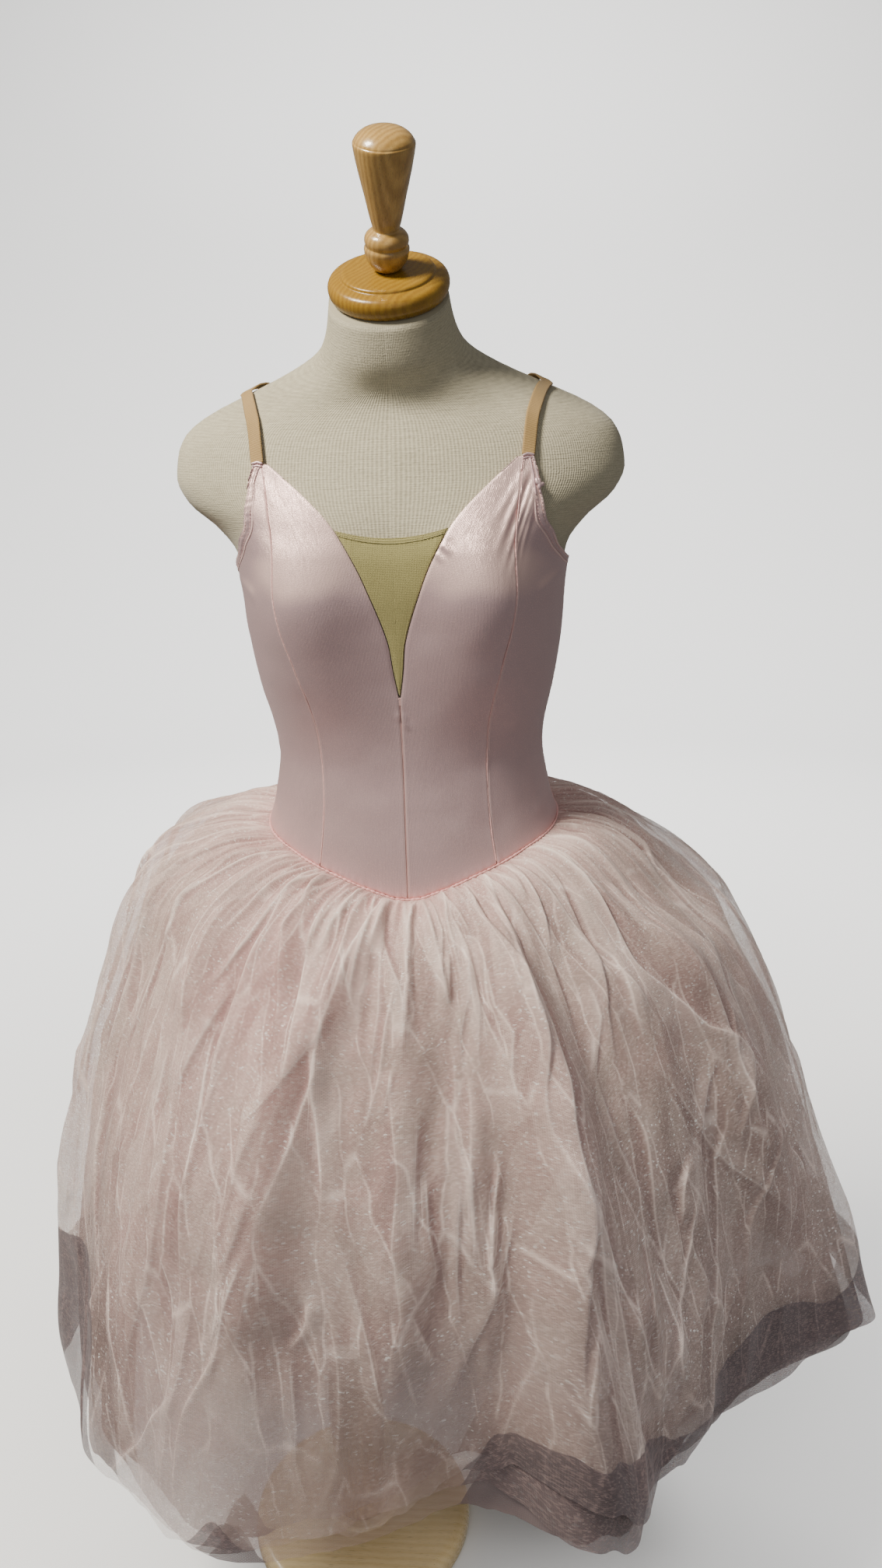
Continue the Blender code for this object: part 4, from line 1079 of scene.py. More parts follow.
def insertMaterial():
    # Fine stretch net in a skin colour: tiny cells, darker in the holes, over a cloud of tone.
    tree, shader, material = newMaterial("insertNet", {"Roughness": 0.78, "Sheen Weight": 0.2})
    uv = placeOf(tree)
    hole = cellsOf(uv, 1050.0, "DISTANCE_TO_EDGE", "Distance", 0.35).remap(0.04, 0.30)
    tone = hole * 0.45 + noiseOf(uv, 40.0) * 0.4
    feed(shader, "Base Color", tone.mix(insert["colour"], insert["dark"]))
    bumpTo(shader, hole, 0.0002)
    return material


def makeInsert():
    # Across from neckline to neckline at each height; the top edge sags as a parabola. A band is
    # turned along the top, and below it the net gathers slightly.
    corner = centreCorner * panelHeight + bodice["bottom"]
    last = bodice["bottom"] + panelHeight * panelRows[insertRow]
    even = np.linspace(corner + 0.004, last - insert["band"] * 1.5, insert["rows"])
    near = last - insert["band"] * np.linspace(1.4, 0, 22)
    height = np.concatenate([even, near])
    half = smoothColumn(height, bodice["neckline"], 1) - seamGap * 1.3
    half[0] = seamGap
    share = np.linspace(-1, 1, insert["columns"])
    across = half[:, None] * share[None, :]
    sag = insert["dip"] * (1 - share**2)[None, :] * ease((height - 1.14) / 0.069)[:, None]
    tall = height[:, None] - sag
    angle = np.sign(across) * angleAt(np.abs(across), tall)
    below = last - height[:, None] + 0 * across
    proud = 0.0007 * (1 - ease((below - insert["band"]) / 0.0007))
    lines = sum(bell(below - line, 0.0004) for line in insert["stitchLines"])
    gathers = np.sin(across * 1900 + 1.5 * np.sin(across * 420))
    gathers = gathers * bell(below - insert["band"] - 0.002, 0.005)
    lift = insert["lift"] + proud - 0.0003 * lines + 0.0003 * gathers
    lift = lift - 0.0006 * ease((np.abs(share)[None, :] - 0.9) / 0.1)
    # the net spans the hollow between the mounds: partly the form's shape, partly a straight chord
    points = onForm(angle, tall, lift)
    chord = points[:, :1, 1] + (points[:, -1:, 1] - points[:, :1, 1]) * (share[None, :] + 1) / 2
    points[..., 1] += insert["taut"] * np.minimum(chord - 0.0010 * (1 - share**2) - points[..., 1], 0)
    net = gridPiece("vInsert", points, insertMaterial(), np.stack([across, tall], -1))
    thicken(net, insert["wall"])
    finishPiece(net, "insert_net", "v_insert")

    stitches = []
    for line in insert["stitchLines"]:
        edge = smoothColumn(last - line, bodice["neckline"], 1)
        place = np.linspace(-0.97, 0.97, 60)
        sag = last - line - insert["dip"] * (1 - place**2)
        degrees = np.degrees(np.sign(place) * angleAt(np.abs(place) * edge, sag))
        stitches += stitchRow(degrees, sag, insert["lift"] + 0.0006, 0.0015, 0.0021, 0.00024)
    thread = threadMaterial("insertThread", insert["thread"])
    tubePiece("insertStitches", stitches, 6, thread, "insert_net")


# elastic straps, the loops that hold them, and the tack at the end of the V
strap = {
    "width": 0.0105, "thick": 0.0013, "rows": 300, "columns": 13,
    "rest": 0.0030, "end": 0.0860,      # its end above the back's top edge, and from the centre
    "low": 0.0011,                      # its clearance over the shoulder
    "flatLength": 0.39, "builtLength": 0.42,
    "route": [
        # degrees on the section, distance from the centre line
        (32.5, 0.1090), (60, 0.1210), (90, 0.1310), (120, 0.1240), (147, 0.1080),
    ],
    "colour": (0.460, 0.300, 0.115), "dark": (0.310, 0.190, 0.065),
}


def shoulderHeight(angle, across):
    # height on the upper side of the shoulder where the section reaches this far out, by halving
    low, high = np.full(angle.shape, 1.25), np.full(angle.shape, 1.36)
    part = np.abs(np.sin(angle)) ** (2 / form["squareness"])
    for _ in range(40):
        middle = (low + high) / 2
        out = smoothColumn(middle, form["sections"], 1) * part
        low = np.where(out > across, middle, low)
        high = np.where(out > across, high, middle)
    return (low + high) / 2


def strapRoute():
    # angle and height of a strap's middle line, from the front over the shoulder to the back edge
    degrees = np.linspace(strap["route"][0][0], strap["route"][-1][0], 15)
    angle = np.radians(degrees)
    across = smoothColumn(degrees, strap["route"], 1)
    crest = int(np.argmax(across))
    for _ in range(4):
        height = shoulderHeight(angle, across)
        height[0] = bodice["top"] + seamGap
        steps = np.linalg.norm(np.diff(onForm(angle, height, clearance), axis=0), axis=-1)
        reach = np.concatenate([[0], np.cumsum(steps)])
        places = [reach[0], reach[crest], reach[-1]]
        across = np.interp(reach, places, [across[0], across[crest], across[-1]])
    share = np.linspace(0, 1, 7)[1:]
    endAngle = math.pi - angleAt(strap["end"], bodice["backTop"][2][1])
    end = smoothColumn(math.degrees(endAngle), bodice["backTop"], 1) + strap["rest"]
    down = height[-1] + (end - height[-1]) * share
    across = strap["route"][-1][1] + (strap["end"] - strap["route"][-1][1]) * share
    return (np.concatenate([angle, math.pi - angleAt(across, down)]), np.concatenate([height, down]))


def elasticMaterial():
    # Ribbed elastic: fine ribs across the strap and a fuzz of fibres.
    tree, shader, material = newMaterial("tanElastic", {"Roughness": 0.72, "Sheen Weight": 0.15})
    uv = placeOf(tree)
    ribs = wavesOf(uv, 210.0, 0.5, "Y")
    tone = ribs * 0.5 + noiseOf(stretched(uv, (900, 300, 1)), 1.0) * 0.5
    feed(shader, "Base Color", tone.mix(strap["colour"], strap["dark"]))
    bumpTo(shader, ribs, 0.00025)
    return material


def smoothPath(points, count):
    # a monotone cubic through points of three or more numbers, by the length between them
    reach = np.concatenate([[0], np.cumsum(np.linalg.norm(np.diff(points[:, :3], axis=0), axis=-1))])
    even = np.linspace(0, reach[-1], count)
    table = np.column_stack([reach, points])
    return np.stack([smoothColumn(even, table, column) for column in range(1, table.shape[1])], -1)


def strapLine(sign, count):
    # The middle line of a strap through places on the form, with its normal and side. It rises
    # to the cloth's own clearance at both ends.
    angle, height = strapRoute()
    share = np.linspace(0, 1, len(angle))
    ends = np.maximum(1 - share / 0.12, share / 0.12 - 7.0).clip(0, 1)
    lift = strap["low"] + (clearance - strap["low"]) * ends
    both = np.concatenate([onForm(angle, height, lift), formNormal(angle, height)], -1)
    both = smoothPath(both, count)
    path, normal = both[:, :3], both[:, 3:]
    normal /= np.linalg.norm(normal, axis=-1, keepdims=True)
    side = np.cross(np.gradient(path, axis=0), normal)
    side /= np.linalg.norm(side, axis=-1, keepdims=True)
    flip = np.array([sign, 1, 1])
    centre = np.array([form["x"], 0, 0])
    return centre + (path - centre) * flip, normal * flip, side * flip


def makeStraps():
    # Across each strap its face is slightly hollow between two raised edges; along it runs a
    # slow ripple.
    material = elasticMaterial()
    share = np.linspace(-1, 1, strap["columns"])
    for half, node, sign in (("Left", "strap_left", 1), ("Right", "strap_right", -1)):
        path, normal, side = strapLine(sign, strap["rows"])
        reach = np.linspace(0, 1, strap["rows"])[:, None]
        crown = strap["thick"] + 0.00018 * bell(np.abs(share) - 0.85, 0.12) - 0.0003 * share**8
        ripple = 0.00025 * np.sin(reach * 46 + share[None] * 1.4)
        wide = strap["width"] / 2 * (1 + 0.03 * np.sin(reach * 19))
        points = (path[:, None] + side[:, None] * (wide * share[None])[..., None]
                  + normal[:, None] * (crown[None] + ripple)[..., None])
        uv = np.stack(np.broadcast_arrays(share[None] * strap["width"] / 2,
                                          reach * strap["builtLength"]), -1)
        band = gridPiece(f"strap{half}", points, material, uv, flip=sign > 0)
        thicken(band, strap["thick"] * 0.75)
        finishPiece(band, "elastic", node)


tacks = {
    "lift": bodice["lift"] + 0.0008,
    "rolled": [
        # across both straps' ends: degrees, heights, radius, how far raised, and the share of the
        # radius that is left at its ends
        ([30.9, 32.4, 34.2], [1.2632, 1.2645, 1.2632], 0.0013, 0.0002, 0.7),
        ([31.0, 32.4, 34.1], [1.2606, 1.2616, 1.2606], 0.0009, 0.0000, 0.7),
    ],
    "casings": [
        # two gathered cords and a knot below the wearer's left strap
        ([33.9, 34.3, 35.4, 37.3], [1.262, 1.252, 1.241, 1.232], 0.0012, 0.0000, 0.7),
        ([32.9, 33.2, 34.2, 36.0], [1.261, 1.252, 1.241, 1.231], 0.0010, 0.0000, 0.7),
        ([34.6, 35.2, 36.4, 37.4], [1.2440, 1.2405, 1.2385, 1.2395], 0.0021, 0.0002, 0.5),
        ([35.2, 35.9, 36.4], [1.2440, 1.2400, 1.2350], 0.0018, 0.0004, 0.4),
    ],
    "rungs": 9, "halfWidth": 0.85, "height": 0.0065, "thread": 0.00034,     # the tack that ends the V
}


def makeTacks():
    # Rolled casings at the strap points, thinner towards their ends, and the tack: a short ladder
    # of threads.
    tubes = [(sign * np.array(tube[0]), *tube[1:]) for sign in (1, -1) for tube in tacks["rolled"]]
    casings = []
    for degrees, heights, radius, raised, ends in tubes + tacks["casings"]:
        shape = 1 - (1 - ends) * np.abs(np.linspace(-1, 1, 40)) ** 4
        casings.append((*alongForm(degrees, heights, 40, tacks["lift"] + raised), radius * shape))
    tubePiece("strapCasings", casings, 10, bpy.data.materials["stretchSatin"], "satin")

    width = tacks["halfWidth"] * np.array([-1, 1])
    radius = tacks["thread"] * np.array([0.5, 0.9, 1, 1, 0.9, 0.5])
    heights = bodice["vBottom"] + 0.0012 - tacks["height"] * np.linspace(0, 1, tacks["rungs"])
    ladder = [(*alongForm(width, [height, height], 6, bodice["lift"] - 0.0002), radius)
              for height in heights]
    tubePiece("vTack", ladder, 6, bpy.data.materials["pinkThread"], "satin")


# the skirt
skirt = {
    "profile": [
        # length, out, drop
        (0.00, 0.000, 0.000), (0.05, 0.110, 0.003), (0.14, 0.290, 0.045), (0.30, 0.530, 0.170),
        (0.52, 0.745, 0.400), (0.76, 0.895, 0.690), (1.00, 1.000, 1.000),
    ],
    "hem": [
        # direction, hem, body, dip
        (-180, 0.350, 0.355, 0.000), (-155, 0.375, 0.372, 0.006), (-130, 0.395, 0.395, 0.000),
        (-105, 0.403, 0.412, 0.008), (-84, 0.388, 0.410, 0.010), (-62, 0.388, 0.388, 0.012),
        (-52, 0.374, 0.374, 0.018), (-36, 0.364, 0.350, 0.028), (-20, 0.308, 0.320, 0.024),
        (-6, 0.275, 0.298, 0.022), (10, 0.255, 0.285, 0.006), (19, 0.265, 0.290, 0.004),
        (32, 0.330, 0.308, 0.012), (39, 0.330, 0.320, 0.045), (46, 0.320, 0.332, 0.016),
        (57, 0.325, 0.358, 0.014), (70, 0.352, 0.394, 0.014), (80, 0.410, 0.418, 0.004),
        (92, 0.490, 0.440, 0.026), (106, 0.470, 0.437, 0.016), (128, 0.425, 0.405, 0.000),
        (152, 0.372, 0.372, 0.008), (180, 0.350, 0.355, 0.000),
    ],
    "folds": [
        # seam, middle, hem, width, rise, start, end
        (-14, -26, -30, 5.0, 0.020, 0.05, 0.80), (26, 30, 26, 5.4, 0.022, 0.05, 1.10),
        (33, 34, 52, 5.2, 0.014, 0.25, 1.10), (55, 70, 80, 5.2, 0.016, 0.05, 0.85),
        (-5, 2, 2, 5.0, 0.009, 0.08, 0.45), (-2, -2, -5, 5.0, 0.010, 0.34, 0.95),
        (15, 14, 17, 5.0, 0.009, 0.34, 0.85), (-52, -43, -52, 5.2, 0.012, 0.10, 1.10),
        (-72, -74, -76, 5.2, 0.014, 0.10, 1.10), (-108, -110, -114, 5.4, 0.016, 0.05, 1.10),
        (-140, -143, -142, 5.2, 0.014, 0.08, 0.90), (-163, -166, -169, 5.2, 0.018, 0.05, 1.10),
        (172, 168, 165, 5.0, 0.012, 0.10, 0.95), (150, 148, 144, 5.4, 0.018, 0.05, 1.10),
        (128, 126, 124, 5.2, 0.016, 0.08, 1.10), (100, 104, 106, 5.4, 0.014, 0.05, 1.10),
        (-82, -82, -82, 34.0, 0.026, 0.00, 0.34), (72, 72, 72, 34.0, -0.020, 0.06, 0.34),
    ],
    "margin": [
        # direction, height of the hem's dusky margin: a dark band painted along the hem that stands in for
        # the dark surroundings seen through the sheer net
        (-180, 0.024), (-150, 0.000), (-125, 0.034), (-112, 0.060), (-96, 0.080), (-84, 0.095),
        (-73, 0.140), (-65, 0.165), (-59, 0.130), (-54, 0.000), (-36, 0.000), (-31, 0.020),
        (-27, 0.000), (8, 0.000), (15, 0.026), (27, 0.050), (40, 0.062), (48, 0.014), (56, 0.016),
        (64, 0.052), (78, 0.056), (84, 0.040), (93, 0.085), (104, 0.066), (120, 0.008),
        (150, 0.034), (180, 0.024),
    ],
    "sheerPart": (-11.0, 30.0),         # middle and half width in degrees of the thinnest part
    "rosy": [
        # pinker patches: direction, length, half width in degrees, half length, strength
        (-36, 0.26, 13, 0.16, 1.0), (-14, 0.20, 7, 0.12, 0.7), (-50, 0.75, 12, 0.30, 0.5),
        (28, 0.42, 8, 0.20, 0.6), (62, 0.30, 9, 0.14, 0.4), (150, 0.35, 14, 0.20, 0.7),
        (-130, 0.30, 12, 0.20, 0.6),
    ],
    # painted shade and greyer net: darker, denser patches, with the same numbers; the broad one at the side
    # is painted shade
    "paintedShadeAndGrey": [(58, 0.50, 36, 0.45, 0.42), (-12, 0.80, 22, 0.12, 0.25)],
    "gathers": [
        # number round the seam, seed, share of the sway, height; where they start, rise over, end
        # and fall over; what the crests' mark adds to the wave and the share it takes
        (124, 1, 0.0, 0.0026, 0.00, 0.012, 0.16, 0.13, 0.10, 1.0),
        (66, 11, 1.0, 0.0026, 0.01, 0.060, 0.52, 0.38, 0.00, 0.7),
        (34, 21, 1.5, 0.0030, 0.06, 0.220, 9.00, 1.00, -0.15, 0.4),
    ],
    # heights of soft noise, its columns, rows where it has its own, and seed: along the hem, over
    # the cloth, and along the upper edge of the painted dark margin
    "ragged": [(0.0035, 150, 31), (0.006, 46, 41)],
    "dents": [(0.0045, 44, 9, 61), (0.0012, 120, 26, 71)],
    "darkMarginEdge": [(0.010, 34, 91), (0.005, 110, 92)],
    "layerStep": 0.0020,                # from one layer's seam down to the next
    "innerFolds": 0.7,                  # share of the big folds that the inner layers take
    "wave": 0.0028,
    "rowPower": 1.15,                   # above 1, its rows lie closer near the seam
    "around": 0.30,                     # metres of cloth for each radian in the UV map
    "long": 0.66,                       # metres from seam to hem
}
skirtLayers = {
    # columns of the front and the back half, and their rows; inset and hem height; unevenness,
    # waves and phase; flat width of each half and how much of the fine detail it takes
    "top": {"columns": (540, 380), "rows": 176, "inset": 0.000, "hem": 0.368, "uneven": 0.012,
            "waves": 16, "phase": 0.0, "flat": 1.25, "detail": 1.0},
    "second": {"columns": (270, 240), "rows": 104, "inset": 0.010, "hem": 0.345, "uneven": 0.014,
               "waves": 14, "phase": 1.1, "flat": 1.15, "detail": 0.8},
    "third": {"columns": (150, 150), "rows": 64, "inset": 0.021, "hem": 0.330, "uneven": 0.012,
              "waves": 16, "phase": 2.3, "flat": 1.10, "detail": 0.45},
    "under": {"columns": (150, 150), "rows": 64, "inset": 0.033, "hem": 0.352, "uneven": 0.010,
              "waves": 14, "phase": 0.6, "flat": 1.05, "detail": 0.45},
}
frontFolds = [
    # (length, direction) along the folded edge; side of the sharp drop, band width, rise, strength
    ([(0.00, -12), (0.20, -16), (0.42, -21), (0.62, -28)], -1, 0.034, 0.0085, 1.0),
    ([(0.24, -16), (0.33, -21), (0.40, -27), (0.46, -34)], 1, 0.018, 0.0040, 0.7),
    ([(0.04, -29), (0.14, -27), (0.32, -24), (0.42, -25)], -1, 0.016, 0.0045, 0.8),
    ([(0.00, 22), (0.14, 27), (0.32, 30), (0.43, 28), (0.58, 31), (0.74, 29), (1.02, 27)],
     1, 0.044, 0.0110, 0.42),
    ([(0.08, 29), (0.33, 31), (0.51, 32), (0.77, 41), (1.02, 52)], 1, 0.022, 0.0070, 0.9),
    ([(0.00, 56), (0.14, 57), (0.27, 57), (0.36, 62), (0.49, 71), (0.62, 77)], 1, 0.026, 0.0070, 0.9),
    ([(0.02, -8), (0.14, -5), (0.28, 2), (0.34, 5)], 1, 0.022, 0.0055, 0.8),
    ([(0.28, -1), (0.41, -2), (0.66, -2), (0.84, -4)], -1, 0.030, 0.0045, 0.6),
    ([(0.32, 15.5), (0.42, 15), (0.53, 13), (0.72, 16)], -1, 0.020, 0.0045, 0.6),
    ([(0.50, 66), (0.72, 61), (1.02, 53)], -1, 0.026, 0.0055, 0.7),
    ([(0.46, 28), (0.55, 31), (0.92, 36)], -1, 0.014, 0.0040, 0.8),
    ([(0.58, 34), (0.78, 38), (1.02, 44)], 1, 0.014, 0.0045, 0.9),
    ([(0.60, 27), (0.80, 33), (1.02, 37)], -1, 0.012, 0.0035, 0.8),
    ([(0.66, 30), (0.84, 37), (1.02, 41)], 1, 0.010, 0.0035, 0.7),
    ([(0.00, -52), (0.18, -50), (0.53, -43), (1.02, -52)], 1, 0.040, 0.0060, 0.35),
    ([(0.26, -36), (0.51, -38), (0.90, -40), (1.02, -42)], -1, 0.034, 0.0055, 0.35),
    ([(0.00, -37), (0.09, -35), (0.27, -29), (0.36, -27)], -1, 0.018, 0.0100, 0.25),
    ([(0.00, -72), (0.20, -68), (0.52, -64), (0.80, -62)], 1, 0.036, 0.0060, 0.35),
    ([(0.10, -61), (0.30, -58), (0.50, -55)], -1, 0.020, 0.0040, 0.35),
    ([(0.00, 5), (0.10, 8), (0.22, 11), (0.30, 13)], 1, 0.016, 0.0045, 0.7),
    ([(0.00, 15), (0.12, 18), (0.26, 19), (0.40, 17)], 1, 0.020, 0.0050, 0.7),
    ([(0.00, 36), (0.12, 38), (0.24, 41), (0.38, 39)], 1, 0.018, 0.0055, 0.7),
    ([(0.00, 44), (0.10, 48), (0.22, 51), (0.42, 58)], 1, 0.020, 0.0050, 0.8),
    ([(0.02, 68), (0.20, 70), (0.45, 80), (0.60, 84)], 1, 0.028, 0.0060, 0.6),
    ([(0.40, 44), (0.52, 48), (0.70, 49), (0.86, 55)], -1, 0.016, 0.0040, 0.7),
    ([(0.56, 22), (0.66, 19), (0.80, 12), (0.92, 4)], 1, 0.018, 0.0035, 0.5),
    ([(0.64, -16), (0.76, -13), (0.88, -14), (1.00, -20)], -1, 0.018, 0.0040, 0.4),
    ([(0.42, 52), (0.60, 63), (0.82, 82)], -1, 0.016, 0.0035, 0.5),
    ([(0.68, 24), (0.80, 22), (1.02, 14)], -1, 0.018, 0.0040, 0.5),
    ([(0.00, -21), (0.12, -22), (0.22, -21)], 1, 0.014, 0.0040, 0.6),
    ([(0.00, -2), (0.08, -1), (0.18, 3)], -1, 0.012, 0.0035, 0.7),
]
wildFolds = {
    "tucks": 104, "seed": 21,           # folds that start in the seam
    "count": 170, "shortest": 0.08, "longest": 0.36, "lean": 26.0,
    "narrow": 0.005, "wide": 0.022, "low": 0.0012, "high": 0.0034,
    "kink": 0.0042,                     # how far a folded edge strays from its curve
    "rise": 0.44, "strength": 0.8,      # shares of their own that the front's folds keep
    "frontWithin": 66,                  # degrees either side of the centre that count as front
    "sharp": 0.0022,                    # width of the drop beside a folded edge
}


def skirtRadius(direction, length):
    # radius the profile runs out to: the body's, and the hem's own lobes with length squared
    hem, body = (smoothColumn(np.degrees(direction), skirt["hem"], column) for column in (1, 2))
    return body + (hem - body) * length**2


def bigFolds(direction, length):
    # sum of soft ridges that wander from seam to hem and rise and die away at their ends
    total = np.zeros(np.broadcast(direction, length).shape)
    degrees = np.degrees(direction)
    for seam, middle, hem, width, rise, start, end in skirt["folds"]:
        centre = np.where(length < 0.5, seam + (middle - seam) * ease(2 * length),
                          middle + (hem - middle) * ease(2 * length - 1))
        aside = (degrees - centre + 180) % 360 - 180
        reach = ease((length - start) / 0.22) * ease((end - length) / 0.18)
        total += rise * reach * bell(aside, width)
    return total


def unevenPhase(angle, count, seed):
    # A phase that grows count turns round the seam, hurried and held back by eight slow sines.
    draw = np.random.default_rng(seed)
    phase = count * angle
    for turns in (1, 2, 3, 5, 7, 11, 16, 23):
        size = draw.uniform(0.04, 0.11) * count / turns
        phase = phase + size * np.sin(turns * angle + draw.uniform(0, 6.28))
    return phase


def pinched(phase):
    # sharp crests and round troughs: 1 - |sin(phase/2)|, centred on zero
    return 1 - np.abs(np.sin(phase / 2)) - 0.36


def kinks(length, seed):
    # straight runs between corners at uneven places, as a folded edge takes down the skirt
    draw = np.random.default_rng(int(1e6 * (seed % 1.0)))
    at = np.concatenate([[0], np.cumsum(draw.uniform(0.03, 0.13, 16))])
    return np.interp(length, at, draw.uniform(-1, 1, 17))


def foldSet(direction, length, radius, folds):
    # Each fold rises evenly over its band up to a folded edge and drops sharply beyond it. Returns
    # how far the cloth moves; the distance to the nearest folded edge, in millimetres, and how
    # strong that edge is; and how much of the cloth lies in a band or in the shade beside one.
    move, band, shade = (np.zeros(radius.shape) for _ in range(3))
    edge, power = np.full(radius.shape, 0.04), np.zeros(radius.shape)
    degrees = np.degrees(direction)
    for path, side, wide, rise, strength in folds:
        centre = smoothColumn(length, path, 1)
        places = np.array(path)
        stray = kinks(length, places[0, 1] / 360) * wildFolds["kink"]
        aside = side * (np.radians((degrees - centre + 180) % 360 - 180) * radius - stray)
        if np.abs(aside).min() > 0.05:
            continue
        first, last = path[0][0], path[-1][0]
        span = last - first
        start = ease((length - first) / (0.25 * span)) if first > 0.01 else ease(length / 0.03)
        reach = start * ease((last - length) / (0.35 * span))
        wide = wide * np.clip(radius / 0.28, 0.3, 1.3)
        slope = ease(1 + aside / wide)
        plateau = ease((1 + aside / wide) / 0.12)
        drop = bell(aside, wildFolds["sharp"])
        move += rise * reach * np.where(aside < 0, slope, drop)
        move -= 0.25 * rise * reach * bell(aside - 0.4 * wide, 0.4 * wide) * (aside > 0)
        band += strength * reach * np.where(aside < 0, 0.4 * slope + 0.6 * plateau, drop)
        shade += strength * reach * bell(aside - 0.25 * wide, 0.45 * wide) * (aside > 0)
        nearer = (np.abs(aside) < np.abs(edge)) & (reach > 0.02)
        edge = np.where(nearer, aside, edge)
        power = np.where(nearer, strength * reach, power)
    return move, 1000 * edge, power, np.clip(band, 0, 1.3), np.clip(shade, 0, 1)


def wildFoldSet():
    # Folds all round, drawn in a fixed order: tucks that start in the seam and run out at uneven
    # lengths, then smaller folds lower down that lean either way.
    draw = np.random.default_rng(wildFolds["seed"])
    folds = []
    for turn in range(wildFolds["tucks"] + wildFolds["count"]):
        tuck = turn < wildFolds["tucks"]
        if tuck:
            first = (turn + draw.uniform(-0.3, 0.3)) * 360 / wildFolds["tucks"]
        else:
            first = draw.uniform(0, 360)
        first = (first + 180) % 360 - 180
        start = 0.0 if tuck else draw.uniform(0.10, 0.80)
        span = draw.uniform(wildFolds["shortest"], wildFolds["longest"]) * (1.3 if tuck else 1.0)
        end = min(start + span, 1.03)
        lean = draw.uniform(-1, 1) * wildFolds["lean"] * span / wildFolds["longest"]
        lean *= 0.30 + 0.70 * start
        bend = draw.uniform(-0.25, 0.25) * lean
        side = 1 if draw.uniform() > 0.45 else -1
        wide = draw.uniform(wildFolds["narrow"], wildFolds["wide"]) * (0.6 if tuck else 1.0)
        rise = draw.uniform(wildFolds["low"], wildFolds["high"])
        path = [(start, first), ((start + end) / 2, first + lean / 2 + bend), (end, first + lean)]
        folds.append((path, side, wide, rise, draw.uniform(0.2, 0.8)))
    return folds


def skirtSheet(angle, length, layer, folds):
    # Starts on the seam at this angle and runs out and down the profile. Large folds, gathers,
    # waves, dents and folded edges move it along the profile's normal, and so does a layer's own
    # inset. Returns the points and the marks that its material reads: the folded edges, how far
    # above the hem's painted dark margin a point lies, the thinner and pinker parts, and the
    # patches of painted shade and greyer net.
    order = list(skirtLayers).index(layer)
    own = skirtLayers[layer]
    start = onForm(angle, basqueHeight(angle) - order * skirt["layerStep"], clearance)
    direction = np.arctan2(start[..., 0] - form["x"], form["y"] - start[..., 1])
    seamRadius = np.hypot(start[..., 0] - form["x"], start[..., 1] - form["y"])
    turn = direction / (2 * math.pi)
    ragged = sum(size * softNoise(turn, 0.1 * order, columns, 7, seed + order)
                 for size, columns, seed in skirt["ragged"])
    hem = (own["hem"] - smoothColumn(np.degrees(direction), skirt["hem"], 3)
           + own["uneven"] * np.sin(3 * direction + 2 * own["phase"])
           + 0.6 * own["uneven"] * np.sin(7 * direction + own["phase"]) + ragged)
    radius = skirtRadius(direction, length)
    reach = radius - seamRadius
    drop = start[..., 2] - hem
    step = 0.01
    low, high = np.clip(length - step, 0, 1), np.clip(length + step, 0, 1)
    run = reach * (smoothColumn(high, skirt["profile"], 1) - smoothColumn(low, skirt["profile"], 1))
    fall = drop * (smoothColumn(high, skirt["profile"], 2) - smoothColumn(low, skirt["profile"], 2))
    size = np.hypot(run, fall)
    out = smoothColumn(length, skirt["profile"], 1)
    there = seamRadius + reach * out

    drift = 0.035 * np.sin(4 * angle + 1.1) * length + 0.02 * np.sin(9 * angle) * length**2
    drift = drift + 0.012 * softNoise(turn, length * 0.9, 60, 14, 81 + order) * ease(length / 0.1)
    strength = 0.65 + 0.35 * softNoise(turn, length, 60, 5, 51 + order)
    gathers = crest = 0
    for count, seed, sway, tall, first, rising, last, falling, offset, share in skirt["gathers"]:
        wave = pinched(unevenPhase(angle + sway * drift, count, seed + order))
        held = strength * ease((length - first) / rising) * ease((last - length) / falling)
        gathers = gathers + tall * wave * held
        crest = crest + share * np.clip(wave + offset, 0, 1) * held
    waves = skirt["wave"] * ease((length - 0.10) / 0.30) * np.cos(own["waves"] * angle + own["phase"])
    dents = sum(size * softNoise(turn, length * 0.8, columns, rows, seed + order)
                for size, columns, rows, seed in skirt["dents"])
    dents = dents * ease((length - 0.06) / 0.22)
    move, edge, power, band, shade = foldSet(direction, length, there, folds)
    large = (1.0 if order == 0 else skirt["innerFolds"]) * bigFolds(direction, length)
    moved = large + own["detail"] * (gathers + move + dents) + waves - own["inset"] * ease(length / 0.22)
    around = there + moved * fall / size
    height = start[..., 2] - drop * smoothColumn(length, skirt["profile"], 2) + moved * run / size
    points = np.stack([form["x"] + around * np.sin(direction), form["y"] - around * np.cos(direction),
                       height], -1)
    margin = smoothColumn(np.degrees(direction), skirt["margin"], 1) * (1 + 0.30 * order)
    darkMarginEdge = sum(size * softNoise(turn, 0.0, columns, 3, seed) for size, columns, seed in skirt["darkMarginEdge"])
    margin = margin + darkMarginEdge * np.clip(margin / 0.02, 0, 1)
    aboveHem = 1000 * ((1 - length) * skirt["long"] - margin)
    middle, spread = skirt["sheerPart"]
    sheer = bell(np.degrees(direction) - middle, spread) * ease((length - 0.70) / 0.16)
    rosy, paintedShadeAndGrey = (sum(strong * bell(np.degrees(direction) - place, wide) * bell(length - down, tall)
                        for place, down, wide, tall, strong in skirt[tint]) for tint in ("rosy", "paintedShadeAndGrey"))
    return points, {"edge": edge, "power": power, "band": band, "shade": shade, "crest": crest,
                    "aboveHem": aboveHem, "sheer": sheer, "rosy": rosy, "paintedShadeAndGrey": paintedShadeAndGrey}


